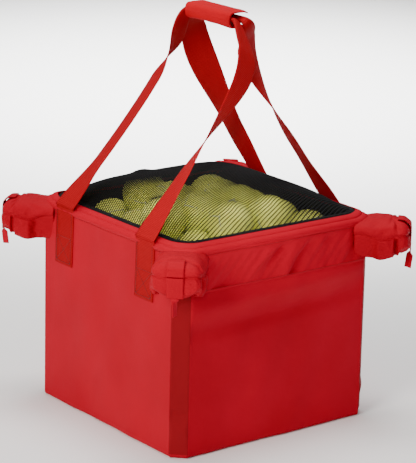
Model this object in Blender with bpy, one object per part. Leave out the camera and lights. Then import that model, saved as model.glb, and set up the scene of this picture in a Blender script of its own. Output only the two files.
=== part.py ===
"""Square fabric ball bag of a teaching cart, full of tennis balls.

The bag stands on z = 0 with its middle at x = y = 0. It has four side panels, four folded
corner bands, a zipped net lid hinged at the back (+Y), a webbing handle on the left (-X) and
on the right (+X) held together by a padded wrap, and a fabric sleeve on each upper corner
that slips over a post of the cart.
"""
import math

import bmesh
import bpy
from mathutils import Vector

for item in list(bpy.data.objects):
    bpy.data.objects.remove(item, do_unlink=True)

# Clearances
SEAM = 0.0003            # between pieces that touch
BALL_GAP = 0.0003        # between a ball and what it lies on

# Bag body
BAG_WIDTH = 0.355        # outside, both ways
PANEL_TOP = 0.300        # where the side panels meet the rim
RIM_TOP = 0.3145         # top of the piped rim
CORNER_FOLD = 0.0185     # how far each corner band cuts into the two faces
FABRIC = 0.0022          # lined and padded polyester
BOTTOM_PLY = 0.0025      # bottom panel
BASE_BOARD = 0.0020      # loose board on the bottom panel
BOARD_EASE = 0.0010      # around the loose board
COLLAR_DEPTH = 0.056     # strip sewn along the top of the front and back

# Rim and zip, measured inwards from the outside of the bag
RIM_INSET = 0.0180       # outside of the bag to the zip line
RIM_RADIUS = 0.028       # corner of the zip line in plan
PIPING_WIDTH = 0.0040
TAPE_WIDTH = 0.0040      # tape of the zip that shows beside the coil
TAPE_PLY = 0.0010
TAPE_UNDER = 0.0035      # tape that reaches under the lid
COIL_WIDTH = 0.0012
COIL_HEIGHT = 0.0022
ZIP_LEVEL = 0.3113       # underside of the lid's border
ZIP_PARTING = 0.0005     # between the two halves of the coil
ARC_STEPS = 6            # facets round a corner of the rim

# Lid
BORDER_WIDTH = 0.0047
BORDER_PLY = 0.0024
NET_CROWN = 0.0350       # how far the net bulges over the balls
NET_POWER = 8            # how flat the bulge is in the middle
NET_CELLS = 7            # lozenges along one side
NET_THREAD = 0.0032
NET_PLY = 0.0012

# Zip slider
SLIDER_LENGTH = 0.010
SLIDER_HEIGHT = 0.0030
SLIDER_PARKED = 0.1262   # along +Y on the right side, lid closed
PULL_GAP = 0.0012        # from the slider to the pull's axis
PULL_LENGTH = 0.0080
PULL_WIDTH = 0.0042
PULL_PLY = 0.0012
PULL_DROOP = 15          # degrees below level

# Webbing handles
WEBBING = 0.044
WEBBING_PLY = 0.0016
ANCHOR_BOTTOM = 0.220    # lower end of the sewn webbing
ANCHOR_TOP = 0.3075
PIVOT_RISE = 0.0003      # bend of the webbing above its sewn part
PIVOT_OUT = 0.0011       # bend of the webbing outside its sewn part
GRIP_X = 0.010           # the two handles meet a little to the right of the middle
GRIP_Z = 0.593
GRIP_SPREAD = 0.0072     # from the middle of the grip to each handle's fold
GRIP_HALF = 0.053        # half the length of the padded wrap
BUNDLE_HALF = 0.0545     # half of the straight fold inside the wrap
BUNDLE_WIDTH = 0.012
BUNDLE_PLY = 0.006
FOLD_START = 0.84        # share of the leg after which the webbing folds up
BEND_START = 0.88        # share of the leg after which it bends into the grip
LEG_STEPS = 14
BEND_STEPS = 4

# Padded wrap
WRAP_PLY = 0.0030
WRAP_INNER = 0.0095      # half of its inner height
WRAP_BACK = 0.0142       # from the middle of the grip to the inner face of its back
WRAP_SILL = 0.0140       # how far the lower wall reaches under the right handle
WRAP_LIP = 0.0040        # where the upper wall ends and the flap starts
FLAP_REACH = 0.0172

# Corner sleeves, measured from the corner band outwards
SLEEVE_LENGTH = 0.066
SLEEVE_HALF = 0.034
SLEEVE_NOSE = 0.008      # corner cut of its end
SLEEVE_CROWN = 0.306     # height of its top
SLEEVE_PILLOW = 0.018    # from its upright sides to its top
SLEEVE_DEPTH_ROOT = 0.060  # from its top to the hem at the bag
SLEEVE_DEPTH_END = 0.049   # and at the outer end
SLEEVE_PLY = 0.0020
STRAP_WIDTH = 0.024
STRAP_PLY = 0.0016
STRAP_DROP = 0.030       # hanging length of the closing strap
STRAP_SLIT = 0.046       # where the strap comes out of the sleeve's top
TAB_WIDTH = 0.011
TAB_DROP = 0.026         # hanging length below the strap

# Balls
BALL = 0.067
BALL_EASE = 0.0008       # between the bag and the outer balls
BALL_TIERS = 6
PRESS_RADIUS = 0.0025    # flat where two balls of the pile press together
HEAP = [(-0.5, 1.5), (-0.5, 0.5), (0.5, 0.5), (-1.5, -0.5), (-0.5, -0.5), (0.5, -0.5),
        (-0.5, -1.5), (0.5, -1.5)]  # loose balls in the hollows of the top tier, in pitches

HALF = BAG_WIDTH / 2
BALL_PITCH = (HALF - FABRIC - BOARD_EASE - BALL_EASE - BALL / 2) / 2  # five balls fill the bag
FOLD_SLANT = math.tan(math.radians(22.5))
ZIP_HALF = HALF - RIM_INSET
RIGHT_ANGLE = math.pi / 2
CORNERS = {
    "front_left": (-1, -1),
    "front_right": (1, -1),
    "back_right": (1, 1),
    "back_left": (-1, 1),
}


def colour(code):
    """Linear colour from an sRGB hex code."""
    parts = [int(code[i:i + 2], 16) / 255 for i in (1, 3, 5)]
    linear = [p / 12.92 if p <= 0.04045 else ((p + 0.055) / 1.055) ** 2.4 for p in parts]
    return (*linear, 1.0)


def material(name, code, roughness, metallic=0.0):
    made = bpy.data.materials.new(name)
    made.use_nodes = True
    shader = made.node_tree.nodes["Principled BSDF"]
    shader.inputs["Base Color"].default_value = colour(code)
    shader.inputs["Roughness"].default_value = roughness
    shader.inputs["Metallic"].default_value = metallic
    made.diffuse_color = colour(code)
    return made


RED_FABRIC = material("red_polyester", "#C8222B", 0.75)
RED_DEEP = material("red_polyester_shaded", "#A51D22", 0.75)
RED_WEBBING = material("red_webbing", "#B81F28", 0.7)
RED_PADDED = material("red_padded_wrap", "#CC2430", 0.75)
BLACK_NET = material("black_net", "#1B1B1D", 0.8)
BLACK_TAPE = material("black_tape", "#161617", 0.7)
BLACK_COIL = material("black_zip_coil", "#202022", 0.45)
PAINTED_ZINC = material("painted_zinc_slider", "#8E1A20", 0.4, 0.5)
GREY_BOARD = material("grey_board", "#4A4A4C", 0.6)
FELT = material("tennis_felt", "#C3D24A", 0.95)


def place(name, shape, finish, origin=(0, 0, 0), smooth_angle=None):
    """Make an object from a bmesh given in world space, with its origin at a joint."""
    bmesh.ops.recalc_face_normals(shape, faces=shape.faces)
    if shape.calc_volume(signed=True) < 0:
        bmesh.ops.reverse_faces(shape, faces=shape.faces)
    bmesh.ops.translate(shape, verts=shape.verts, vec=-Vector(origin))
    mesh = bpy.data.meshes.new(name)
    shape.to_mesh(mesh)
    shape.free()
    mesh.materials.append(finish)
    piece = bpy.data.objects.new(name, mesh)
    piece.location = origin
    bpy.context.collection.objects.link(piece)
    if smooth_angle:
        mesh.shade_smooth()
        mesh.set_sharp_from_angle(angle=math.radians(smooth_angle))
    return piece


def skin(shape, loops, closed):
    """Join equal loops of points into a tube, capped at its ends unless it is closed."""
    rows = [[shape.verts.new(point) for point in loop] for loop in loops]
    count = len(rows[0])
    pairs = list(zip(rows, rows[1:]))
    if closed:
        pairs.append((rows[-1], rows[0]))
    for low, high in pairs:
        for i in range(count):
            j = (i + 1) % count
            shape.faces.new((low[i], low[j], high[j], high[i]))
    if not closed:
        shape.faces.new(reversed(rows[0]))
        shape.faces.new(rows[-1])


def prism(shape, outline, low, high):
    """Upright solid on a plan outline."""
    skin(shape, [[(x, y, z) for x, y in outline] for z in (low, high)], closed=False)


def box(shape, low, high):
    outline = [(low[0], low[1]), (high[0], low[1]), (high[0], high[1]), (low[0], high[1])]
    prism(shape, outline, low[2], high[2])


def octagon(half, fold):
    """Plan of the bag: a square with folded corners."""
    short = half - fold
    return [(-short, -half), (short, -half), (half, -short), (half, short),
            (short, half), (-short, half), (-half, short), (-half, -short)]


def arc(centre, radius, start):
    """Quarter circle in plan, anticlockwise from a start angle in quarter turns."""
    points = []
    for i in range(ARC_STEPS + 1):
        angle = (start + i / ARC_STEPS) * RIGHT_ANGLE
        points.append((centre[0] + radius * math.cos(angle), centre[1] + radius * math.sin(angle)))
    return points


def rim_line(half, radius, back_end=None):
    """Rounded square in plan, or three sides of it that stop at back_end on both sides."""
    inner = half - radius
    front = arc((-inner, -inner), radius, 2) + arc((inner, -inner), radius, 3)
    if back_end is not None:
        return [(-half, back_end)] + front + [(half, back_end)]
    return front + arc((inner, inner), radius, 0) + arc((-inner, inner), radius, 1)


def sweep_rim(shape, profile, back_end=None):
    """Sweep a profile of (half width, corner radius, height) points round the rim."""
    lines = [rim_line(half, radius, back_end) for half, radius, _ in profile]
    levels = [height for _, _, height in profile]
    loops = [[(*line[k], z) for line, z in zip(lines, levels)] for k in range(len(lines[0]))]
    skin(shape, loops, closed=back_end is None)


def strip_profile(outer, inner, low, high):
    """Rectangular rim profile; the corner radius follows the zip line's."""
    def radius(half):
        return RIM_RADIUS + half - ZIP_HALF
    return [(outer, radius(outer), low), (outer, radius(outer), high),
            (inner, radius(inner), high), (inner, radius(inner), low)]


def turn_plan(points, quarter_turns):
    """Turn plan points anticlockwise about the middle of the bag."""
    turned = points
    for _ in range(quarter_turns % 4):
        turned = [(-y, x) for x, y in turned]
    return turned


def smooth_step(t):
    t = min(max(t, 0.0), 1.0)
    return t * t * (3 - 2 * t)


# Body

def panel_outline():
    """Front panel in plan, with mitred ends at the corner folds."""
    outer = HALF - CORNER_FOLD - SEAM / 2
    inner = outer - FABRIC * FOLD_SLANT
    return [(-outer, -HALF), (outer, -HALF), (inner, -HALF + FABRIC), (-inner, -HALF + FABRIC)]


def band_outline():
    """Front left corner band in plan, mitred to the two panels."""
    short = HALF - CORNER_FOLD + SEAM / 2
    deep = FABRIC * FOLD_SLANT
    return [(-HALF, -short), (-short, -HALF), (-short + deep, -HALF + FABRIC),
            (-HALF + FABRIC, -short + deep)]


def make_body():
    wall_bottom = BOTTOM_PLY + SEAM
    collar_bottom = PANEL_TOP - COLLAR_DEPTH
    sides = {"front": 0, "right": 1, "back": 2, "left": 3}
    for side, turns in sides.items():
        outline = turn_plan(panel_outline(), turns)
        has_collar = side in ("front", "back")
        shape = bmesh.new()
        prism(shape, outline, wall_bottom, collar_bottom - SEAM if has_collar else PANEL_TOP)
        place(f"panel_{side}", shape, RED_FABRIC if side == "left" else RED_DEEP)
        if has_collar:
            shape = bmesh.new()
            prism(shape, outline, collar_bottom, PANEL_TOP)
            place(f"collar_{side}", shape, RED_DEEP)
    for turns, corner in enumerate(CORNERS):
        shape = bmesh.new()
        prism(shape, turn_plan(band_outline(), turns), wall_bottom, PANEL_TOP)
        place(f"corner_band_{corner}", shape, RED_DEEP)
    shape = bmesh.new()
    prism(shape, octagon(HALF, CORNER_FOLD), 0, BOTTOM_PLY)
    place("panel_bottom", shape, RED_DEEP)
    shape = bmesh.new()
    board_inset = FABRIC + BOARD_EASE
    board_low = BOTTOM_PLY + SEAM
    prism(shape, octagon(HALF - board_inset, CORNER_FOLD), board_low, board_low + BASE_BOARD)
    place("base_board", shape, GREY_BOARD)


# Rim and the fixed half of the zip

COIL_INNER = ZIP_HALF + ZIP_PARTING
COIL_OUTER = COIL_INNER + COIL_WIDTH
TAPE_INNER = COIL_OUTER + SEAM
TAPE_OUTER = TAPE_INNER + TAPE_WIDTH
PIPING_INNER = TAPE_OUTER + SEAM
PIPING_OUTER = PIPING_INNER + PIPING_WIDTH
SHOULDER_INNER = PIPING_OUTER + SEAM
TAPE_TOP = ZIP_LEVEL + TAPE_PLY
UNDER_TAPE_TOP = ZIP_LEVEL - SEAM
UNDER_TAPE_LOW = UNDER_TAPE_TOP - TAPE_PLY
COIL_TOP = ZIP_LEVEL + COIL_HEIGHT + SEAM
ZIP_BACK_END = ZIP_HALF - RIM_RADIUS


def make_rim():
    """Red shoulder, piping and, inside them, the black tape and coil of the zip."""
    fold_radius = CORNER_FOLD * math.sqrt(0.5) / (math.sqrt(2) - 1)
    piping_radius = RIM_RADIUS + PIPING_OUTER - ZIP_HALF
    low = PANEL_TOP + SEAM
    shoulder_top = RIM_TOP - 0.0015
    shelf = UNDER_TAPE_LOW - SEAM
    ledge_inner = COIL_INNER - TAPE_UNDER
    ledge_radius = RIM_RADIUS - TAPE_UNDER
    shape = bmesh.new()
    sweep_rim(shape, [
        (HALF, fold_radius, low),
        (HALF - 0.0012, fold_radius, low + 0.0065),
        (HALF - 0.0040, fold_radius, shoulder_top - 0.0015),
        (SHOULDER_INNER, piping_radius, shoulder_top),
        (SHOULDER_INNER, piping_radius, shelf),
        (ledge_inner, ledge_radius, shelf),
        (ledge_inner, ledge_radius, shelf - FABRIC),
        (HALF - FABRIC - 0.0040, piping_radius, shelf - FABRIC),
        (HALF - FABRIC, fold_radius - FABRIC, low),
    ])
    place("rim_shoulder", shape, RED_FABRIC)
    shape = bmesh.new()
    middle = (PIPING_INNER + PIPING_OUTER) / 2
    sweep_rim(shape, [
        (PIPING_INNER, RIM_RADIUS + PIPING_INNER - ZIP_HALF, UNDER_TAPE_LOW),
        (PIPING_OUTER, piping_radius, UNDER_TAPE_LOW),
        (PIPING_OUTER, piping_radius, RIM_TOP - 0.0010),
        (middle, RIM_RADIUS + middle - ZIP_HALF, RIM_TOP),
        (PIPING_INNER, RIM_RADIUS + PIPING_INNER - ZIP_HALF, RIM_TOP - 0.0010),
    ])
    place("rim_piping", shape, RED_FABRIC)
    shape = bmesh.new()
    under = strip_profile(TAPE_OUTER, ledge_inner, UNDER_TAPE_LOW, UNDER_TAPE_TOP)
    step = strip_profile(TAPE_OUTER, TAPE_INNER, UNDER_TAPE_TOP, TAPE_TOP)
    sweep_rim(shape, [under[0], step[1], step[2], step[3], under[2], under[3]])
    place("zip_tape", shape, BLACK_TAPE)
    shape = bmesh.new()
    coil = strip_profile(COIL_OUTER, COIL_INNER, ZIP_LEVEL, COIL_TOP)
    sweep_rim(shape, coil, back_end=ZIP_BACK_END)
    place("zip_coil_rim", shape, BLACK_COIL)
    shape = bmesh.new()
    box(shape, (-ZIP_BACK_END, COIL_INNER, ZIP_LEVEL), (ZIP_BACK_END, COIL_OUTER, COIL_TOP))
    place("lid_hinge_strip", shape, BLACK_TAPE)


# Lid

BORDER_OUTER = ZIP_HALF - COIL_WIDTH - SEAM
BORDER_INNER = BORDER_OUTER - BORDER_WIDTH
NET_HALF = BORDER_INNER - SEAM
LID_HINGE = (0, COIL_INNER, COIL_TOP + SEAM)


def net_height(x, y):
    """Height of the net's middle surface over the zip line."""
    across = 1 - (abs(x) / NET_HALF) ** NET_POWER
    along = 1 - (abs(y) / NET_HALF) ** NET_POWER
    return ZIP_LEVEL + BORDER_PLY / 2 + NET_CROWN * across * along


def net_corner(x, y):
    """Pull a point at the net's square corner in to the rounded corner of the border."""
    radius = RIM_RADIUS + NET_HALF - ZIP_HALF
    past = Vector((abs(x), abs(y))) - Vector((1, 1)) * (NET_HALF - radius)
    if min(past) <= 0 or past.length <= radius:
        return x, y
    held = Vector((1, 1)) * (NET_HALF - radius) + past.normalized() * radius
    return math.copysign(held.x, x), math.copysign(held.y, y)


def make_net():
    """Lozenge net: each cell's rim is kept and its middle left open."""
    shape = bmesh.new()
    step = NET_HALF / NET_CELLS
    verts = {}

    def vert(i, j):
        if (i, j) not in verts:
            verts[i, j] = shape.verts.new((*net_corner(i * step, j * step), 0))
        return verts[i, j]

    for i in range(-NET_CELLS, NET_CELLS + 1):
        for j in range(-NET_CELLS, NET_CELLS + 1):
            if (i + j) % 2 == 0:
                continue
            ring = [(i + 1, j), (i, j + 1), (i - 1, j), (i, j - 1)]
            inside = [c for c in ring if max(abs(c[0]), abs(c[1])) <= NET_CELLS]
            shape.faces.new([vert(*c) for c in inside])
    shape.normal_update()
    cells = list(shape.faces)
    bmesh.ops.inset_individual(shape, faces=cells, thickness=NET_THREAD / 2, use_even_offset=True)
    bmesh.ops.delete(shape, geom=cells, context="FACES")
    for v in shape.verts:
        v.co.z = net_height(v.co.x, v.co.y)
    bmesh.ops.recalc_face_normals(shape, faces=shape.faces)
    bmesh.ops.solidify(shape, geom=shape.faces, thickness=NET_PLY)
    place("lid_net", shape, BLACK_NET, origin=LID_HINGE)


def make_lid():
    make_net()
    shape = bmesh.new()
    sweep_rim(shape, strip_profile(BORDER_OUTER, BORDER_INNER, ZIP_LEVEL, ZIP_LEVEL + BORDER_PLY))
    place("lid_border", shape, BLACK_TAPE, origin=LID_HINGE)
    shape = bmesh.new()
    coil = strip_profile(ZIP_HALF, ZIP_HALF - COIL_WIDTH, ZIP_LEVEL, COIL_TOP)
    sweep_rim(shape, coil, back_end=ZIP_BACK_END)
    place("zip_coil_lid", shape, BLACK_COIL, origin=LID_HINGE)
    shape = bmesh.new()
    low = (-ZIP_BACK_END, ZIP_HALF - COIL_WIDTH, ZIP_LEVEL)
    box(shape, low, (ZIP_BACK_END, ZIP_HALF, COIL_TOP))
    place("lid_hinge_tape", shape, BLACK_TAPE, origin=LID_HINGE)


def make_slider():
    """Slider on the right-hand side of the rim, and its pull lying outwards over the piping."""
    low = COIL_TOP + SEAM
    top = low + SLIDER_HEIGHT
    outer = TAPE_OUTER
    y = SLIDER_PARKED
    shape = bmesh.new()
    box(shape, (COIL_INNER, y - SLIDER_LENGTH / 2, low), (outer, y + SLIDER_LENGTH / 2, top))
    edges = [e for e in shape.edges if all(v.co.z > top - 1e-5 for v in e.verts)]
    bmesh.ops.bevel(shape, geom=edges, offset=0.0008, segments=1, affect="EDGES")
    place("zip_slider", shape, PAINTED_ZINC, origin=((COIL_INNER + outer) / 2, y, low))
    pivot = Vector((outer + PULL_GAP, y, top - PULL_PLY))
    along = Vector((math.cos(math.radians(PULL_DROOP)), 0, -math.sin(math.radians(PULL_DROOP))))
    up = Vector((-along.z, 0, along.x)) * (PULL_PLY / 2)
    shape = bmesh.new()
    loops = []
    widths = ((-PULL_GAP / 2, PULL_WIDTH * 0.6), (PULL_GAP * 2, PULL_WIDTH), (PULL_LENGTH, PULL_WIDTH))
    for reach, width in widths:
        side = Vector((0, width / 2, 0))
        at = pivot + along * reach
        loops.append([at - side - up, at + side - up, at + side + up, at - side + up])
    skin(shape, loops, closed=False)
    place("zip_pull", shape, PAINTED_ZINC, origin=pivot)


# Handles

LEGS = {
    "left_back": {"root": 0.106, "end": 0.062, "bow": -0.020, "late_bow": -0.010,
                  "early": 20, "late": 0.66},
    "left_front": {"root": -0.095, "end": -0.062, "bow": -0.024, "late_bow": -0.044,
                   "early": 15, "late": 0.15},
    "right_back": {"root": 0.098, "end": 0.062, "bow": 0.022, "late_bow": 0.017,
                   "early": 8, "late": 0.30},
    "right_front": {"root": -0.070, "end": -0.074, "bow": 0.034, "late_bow": 0.026,
                    "early": 12, "late": 0.30},
}
ANCHOR_FACE = HALF + SEAM + WEBBING_PLY
PIVOT_X = ANCHOR_FACE + PIVOT_OUT
PIVOT_Z = ANCHOR_TOP + PIVOT_RISE


def handle_arm(side):
    """Pivot of a handle and the vector from there to its fold in the grip."""
    sign = -1 if side == "left" else 1
    pivot = Vector((sign * PIVOT_X, 0, PIVOT_Z))
    top = Vector((GRIP_X + sign * GRIP_SPREAD, 0, GRIP_Z))
    return pivot, top - pivot


def leg_station(leg, u, reach):
    """Station (y, reach, width, ply, twist) of a leg, u = 0 at the rim and 1 at the grip."""
    swell = leg["bow"] * math.sin(math.pi * u) + leg["late_bow"] * math.sin(math.pi * u ** 3)
    y = leg["root"] + (leg["end"] - leg["root"]) * u + swell
    fold = smooth_step((u - FOLD_START) / (1 - FOLD_START))
    width = WEBBING + (BUNDLE_WIDTH - WEBBING) * fold
    ply = WEBBING_PLY + (BUNDLE_PLY - WEBBING_PLY) * fold
    turned = smooth_step((u - leg["late"]) / (1 - leg["late"]))
    twist = leg["early"] * smooth_step(u / 0.25) + (90 - leg["early"]) * turned
    return y, reach * u, width, ply, twist


def leg_stations(leg, reach):
    """Leg from the rim up, with its last part bent into the line of the grip."""
    stations = [leg_station(leg, BEND_START * i / LEG_STEPS, reach) for i in range(LEG_STEPS + 1)]
    y0, reach0 = stations[-1][:2]
    y1 = leg["end"]
    y2 = math.copysign(BUNDLE_HALF, y1)
    for i in range(1, BEND_STEPS + 1):
        t = i / BEND_STEPS
        y = (1 - t) ** 2 * y0 + 2 * t * (1 - t) * y1 + t ** 2 * y2
        height = (1 - t) ** 2 * reach0 + (1 - (1 - t) ** 2) * reach
        rest = leg_station(leg, BEND_START + (1 - BEND_START) * t, reach)[2:]
        stations.append((y, height, *rest))
    return stations


def handle_stations(side, reach):
    """Stations of one loop in its own leaning plane, from its back leg to its front leg."""
    back = leg_stations(LEGS[f"{side}_back"], reach)
    front = leg_stations(LEGS[f"{side}_front"], reach)
    if side == "left":
        front = [(*station[:4], 180 - station[4]) for station in front]
    return back + [(0, reach, BUNDLE_WIDTH, BUNDLE_PLY, 90)] + front[::-1]


def twisted_strip(shape, loops):
    """Join the sections of a handle. Both broad faces are split along the same diagonal, so the
    webbing keeps its ply where it twists."""
    rows = [[shape.verts.new(point) for point in loop] for loop in loops]
    for low, high in zip(rows, rows[1:]):
        for i in range(4):
            j = (i + 1) % 4
            if i < 2:
                shape.faces.new((low[i], low[j], high[j]))
                shape.faces.new((low[i], high[j], high[i]))
            else:
                shape.faces.new((low[i], low[j], high[i]))
                shape.faces.new((low[j], high[j], high[i]))
    shape.faces.new(reversed(rows[0]))
    shape.faces.new(rows[-1])


def make_handle(side):
    pivot, arm = handle_arm(side)
    lean = arm.normalized()
    level = Vector((0, 1, 0))
    facing = Vector((math.copysign(lean.z, arm.x), 0, -abs(lean.x)))
    stations = handle_stations(side, arm.length)
    loops = []
    for k, (y, reach, width, ply, twist) in enumerate(stations):
        before = stations[max(k - 1, 0)]
        after = stations[min(k + 1, len(stations) - 1)]
        run = (level * (after[0] - before[0]) + lean * (after[1] - before[1])).normalized()
        if k in (0, len(stations) - 1):
            run = lean if k == 0 else -lean
        outward = level * run.dot(lean) - lean * run.dot(level)
        t = math.radians(twist)
        wide = (outward * math.cos(t) + facing * math.sin(t)) * (width / 2)
        thin = run.cross(wide).normalized() * (ply / 2)
        middle = pivot + lean * reach + level * y
        loops.append([middle - wide - thin, middle + wide - thin,
                      middle + wide + thin, middle - wide + thin])
    shape = bmesh.new()
    twisted_strip(shape, loops)
    place(f"handle_{side}", shape, RED_WEBBING, origin=pivot)


def make_anchors():
    """Webbing sewn flat on the left and right faces."""
    for name, leg in LEGS.items():
        sign = -1 if name.startswith("left") else 1
        xs = sorted((sign * (HALF + SEAM), sign * ANCHOR_FACE))
        shape = bmesh.new()
        low = (xs[0], leg["root"] - WEBBING / 2, ANCHOR_BOTTOM)
        box(shape, low, (xs[1], leg["root"] + WEBBING / 2, ANCHOR_TOP))
        place(f"sewn_webbing_{name}", shape, RED_WEBBING)


def make_wrap():
    """Padded wrap on the left handle: a channel open to the right, and a flap over the top."""
    pivot = handle_arm("left")[0]
    outer = WRAP_INNER + WRAP_PLY
    section = [
        (WRAP_SILL, -outer), (WRAP_SILL, -WRAP_INNER), (-WRAP_BACK, -WRAP_INNER),
        (-WRAP_BACK, WRAP_INNER), (-WRAP_LIP, WRAP_INNER), (-WRAP_LIP, outer),
        (-WRAP_BACK - WRAP_PLY * 0.3, outer), (-WRAP_BACK - WRAP_PLY, outer - WRAP_PLY * 0.7),
        (-WRAP_BACK - WRAP_PLY, -outer + WRAP_PLY * 0.7), (-WRAP_BACK - WRAP_PLY * 0.3, -outer),
    ]
    ends = (-GRIP_HALF, GRIP_HALF)
    shape = bmesh.new()
    loops = [[(GRIP_X + x, y, GRIP_Z + z) for x, z in section] for y in ends]
    skin(shape, loops, closed=False)
    place("grip_wrap", shape, RED_PADDED, origin=pivot)
    low = WRAP_INNER + SEAM
    hinge = (GRIP_X - WRAP_LIP + SEAM, 0, GRIP_Z + outer)
    shape = bmesh.new()
    flap = [(-WRAP_LIP + SEAM, low), (FLAP_REACH, low), (FLAP_REACH, outer - 0.001),
            (FLAP_REACH - 0.001, outer), (-WRAP_LIP + SEAM, outer)]
    loops = [[(GRIP_X + x, y, GRIP_Z + z) for x, z in flap] for y in ends]
    skin(shape, loops, closed=False)
    place("grip_flap", shape, RED_PADDED, origin=hinge)


# Corner sleeves

SLEEVE_EAVE = SLEEVE_CROWN - SLEEVE_PILLOW
SLEEVE_SHOULDER = SLEEVE_CROWN - SLEEVE_PILLOW * 0.38
BAND_HALF = CORNER_FOLD * math.sqrt(0.5)
BAND_REACH = HALF - CORNER_FOLD / 2


class Sleeve:
    """Frame of one corner: out from the corner band, across it, and up."""

    def __init__(self, corner):
        sx, sy = CORNERS[corner]
        self.corner = corner
        self.base = Vector((sx * BAND_REACH, sy * BAND_REACH, 0))
        self.out = Vector((sx, sy, 0)).normalized()
        self.across = Vector((-sy, sx, 0)).normalized()

    def point(self, u, v, z):
        return self.base + self.out * u + self.across * v + Vector((0, 0, z))


def sleeve_ring(half, end, seated):
    """Plan of a sleeve as (out, across) points; seated, it fits against the bag's corner."""
    side = [(end - SLEEVE_NOSE, half), (end, half - SLEEVE_NOSE)]
    if seated:
        reach = BAND_HALF + SEAM * math.sqrt(2)
        root = [(SEAM, reach - SEAM), (reach - half, half)]
    else:
        root = [(-SLEEVE_HALF, half)]
    ring = root + side
    return ring + [(u, -v) for u, v in reversed(ring)]


def hem(u):
    share = max(u, 0) / SLEEVE_LENGTH
    return SLEEVE_CROWN - SLEEVE_DEPTH_ROOT + (SLEEVE_DEPTH_ROOT - SLEEVE_DEPTH_END) * share


def sleeve_body(sleeve, inset, drop, seated):
    """Upright sides under a pillowed top."""
    rings = [(0, 0, SLEEVE_EAVE), (0.003, 0.002, SLEEVE_SHOULDER), (0.017, 0.009, SLEEVE_CROWN)]
    wide = sleeve_ring(SLEEVE_HALF - inset, SLEEVE_LENGTH - inset, seated)
    loops = [[sleeve.point(u, v, hem(u) - drop) for u, v in wide]]
    for narrower, shorter, level in rings:
        half = SLEEVE_HALF - inset - narrower
        ring = sleeve_ring(half, SLEEVE_LENGTH - inset - shorter, seated)
        loops.append([sleeve.point(u, v, level - inset) for u, v in ring])
    shape = bmesh.new()
    skin(shape, loops, closed=False)
    return shape


def ribbon(sleeve, track, width):
    """Flat band along a track of (out, height) points, one webbing ply thick outwards."""
    loops = []
    for k, (u, z) in enumerate(track):
        before = track[max(k - 1, 0)]
        after = track[min(k + 1, len(track) - 1)]
        run = Vector((after[0] - before[0], after[1] - before[1])).normalized() * STRAP_PLY
        corners = ((0, -1), (0, 1), (1, 1), (1, -1))
        loops.append([sleeve.point(u - run.y * lift, side * width / 2, z + run.x * lift)
                      for lift, side in corners])
    shape = bmesh.new()
    skin(shape, loops, closed=False)
    return shape


def make_sleeve(corner):
    """Fabric hood open below, and the strap that closes its outer end."""
    sleeve = Sleeve(corner)
    hood = place(f"sleeve_{corner}", sleeve_body(sleeve, 0, 0, True), RED_FABRIC)
    hollow = place(f"hollow_{corner}", sleeve_body(sleeve, SLEEVE_PLY, 0.02, False), RED_FABRIC)
    hollow.hide_render = True
    hollow.display_type = "WIRE"
    cut = hood.modifiers.new("hollow", "BOOLEAN")
    cut.operation = "DIFFERENCE"
    cut.object = hollow
    face = SLEEVE_LENGTH + SEAM
    top = SLEEVE_CROWN + SEAM
    track = [(STRAP_SLIT, top), (face - 0.009, top),
             (face - 0.0015, SLEEVE_SHOULDER + SEAM), (face, SLEEVE_EAVE + SEAM)]
    place(f"strap_root_{corner}", ribbon(sleeve, track, STRAP_WIDTH), RED_WEBBING)
    hinge = sleeve.point(face + STRAP_PLY, 0, SLEEVE_EAVE - SEAM)
    strap_end = SLEEVE_EAVE - STRAP_DROP
    strap = [(face, SLEEVE_EAVE - 4 * SEAM), (face, strap_end)]
    place(f"closure_strap_{corner}", ribbon(sleeve, strap, STRAP_WIDTH), RED_WEBBING, hinge)
    tab = [(face, strap_end - SEAM), (face, strap_end - TAB_DROP)]
    place(f"pull_tab_{corner}", ribbon(sleeve, tab, TAB_WIDTH), RED_WEBBING, hinge)


# Balls

FLOOR = BOTTOM_PLY + SEAM + BASE_BOARD
PRESSED_REACH = 2 * math.sqrt((BALL / 2) ** 2 - PRESS_RADIUS ** 2)
TIER_RISE = math.sqrt(PRESSED_REACH ** 2 - BALL_PITCH ** 2 / 2)


def tier(level):
    """Balls of one tier: four by four, or five by five in the hollows between them."""
    count = 4 + level % 2
    height = FLOOR + SEAM + BALL / 2 + level * TIER_RISE
    steps = [i - (count - 1) / 2 for i in range(count)]
    return [Vector((x * BALL_PITCH, y * BALL_PITCH, height)) for y in steps for x in steps]


def resting_place(x, y):
    """Centre of a loose ball lowered at (x, y) until it lies on the top tier."""
    reach = BALL + BALL_GAP
    heights = []
    for below in tier(BALL_TIERS - 1):
        away = math.hypot(x - below.x, y - below.y)
        if away < reach:
            heights.append(below.z + math.sqrt(reach ** 2 - away ** 2))
    return Vector((x, y, max(heights)))


def touching(centre, others):
    """Directions from a ball to the ones that lie against it."""
    near = [other - centre for other in others if other is not centre]
    return [way.normalized() for way in near if way.length < BALL + 2 * BALL_GAP]


def press_flat(a, b):
    """Three points round the flat where two balls press together."""
    normal = (b - a).normalized()
    side = normal.orthogonal().normalized()
    other = normal.cross(side)
    turns = [2 * math.pi * k / 3 for k in range(3)]
    return [(a + b) / 2 + (side * math.cos(t) + other * math.sin(t)) * PRESS_RADIUS for t in turns]


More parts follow.
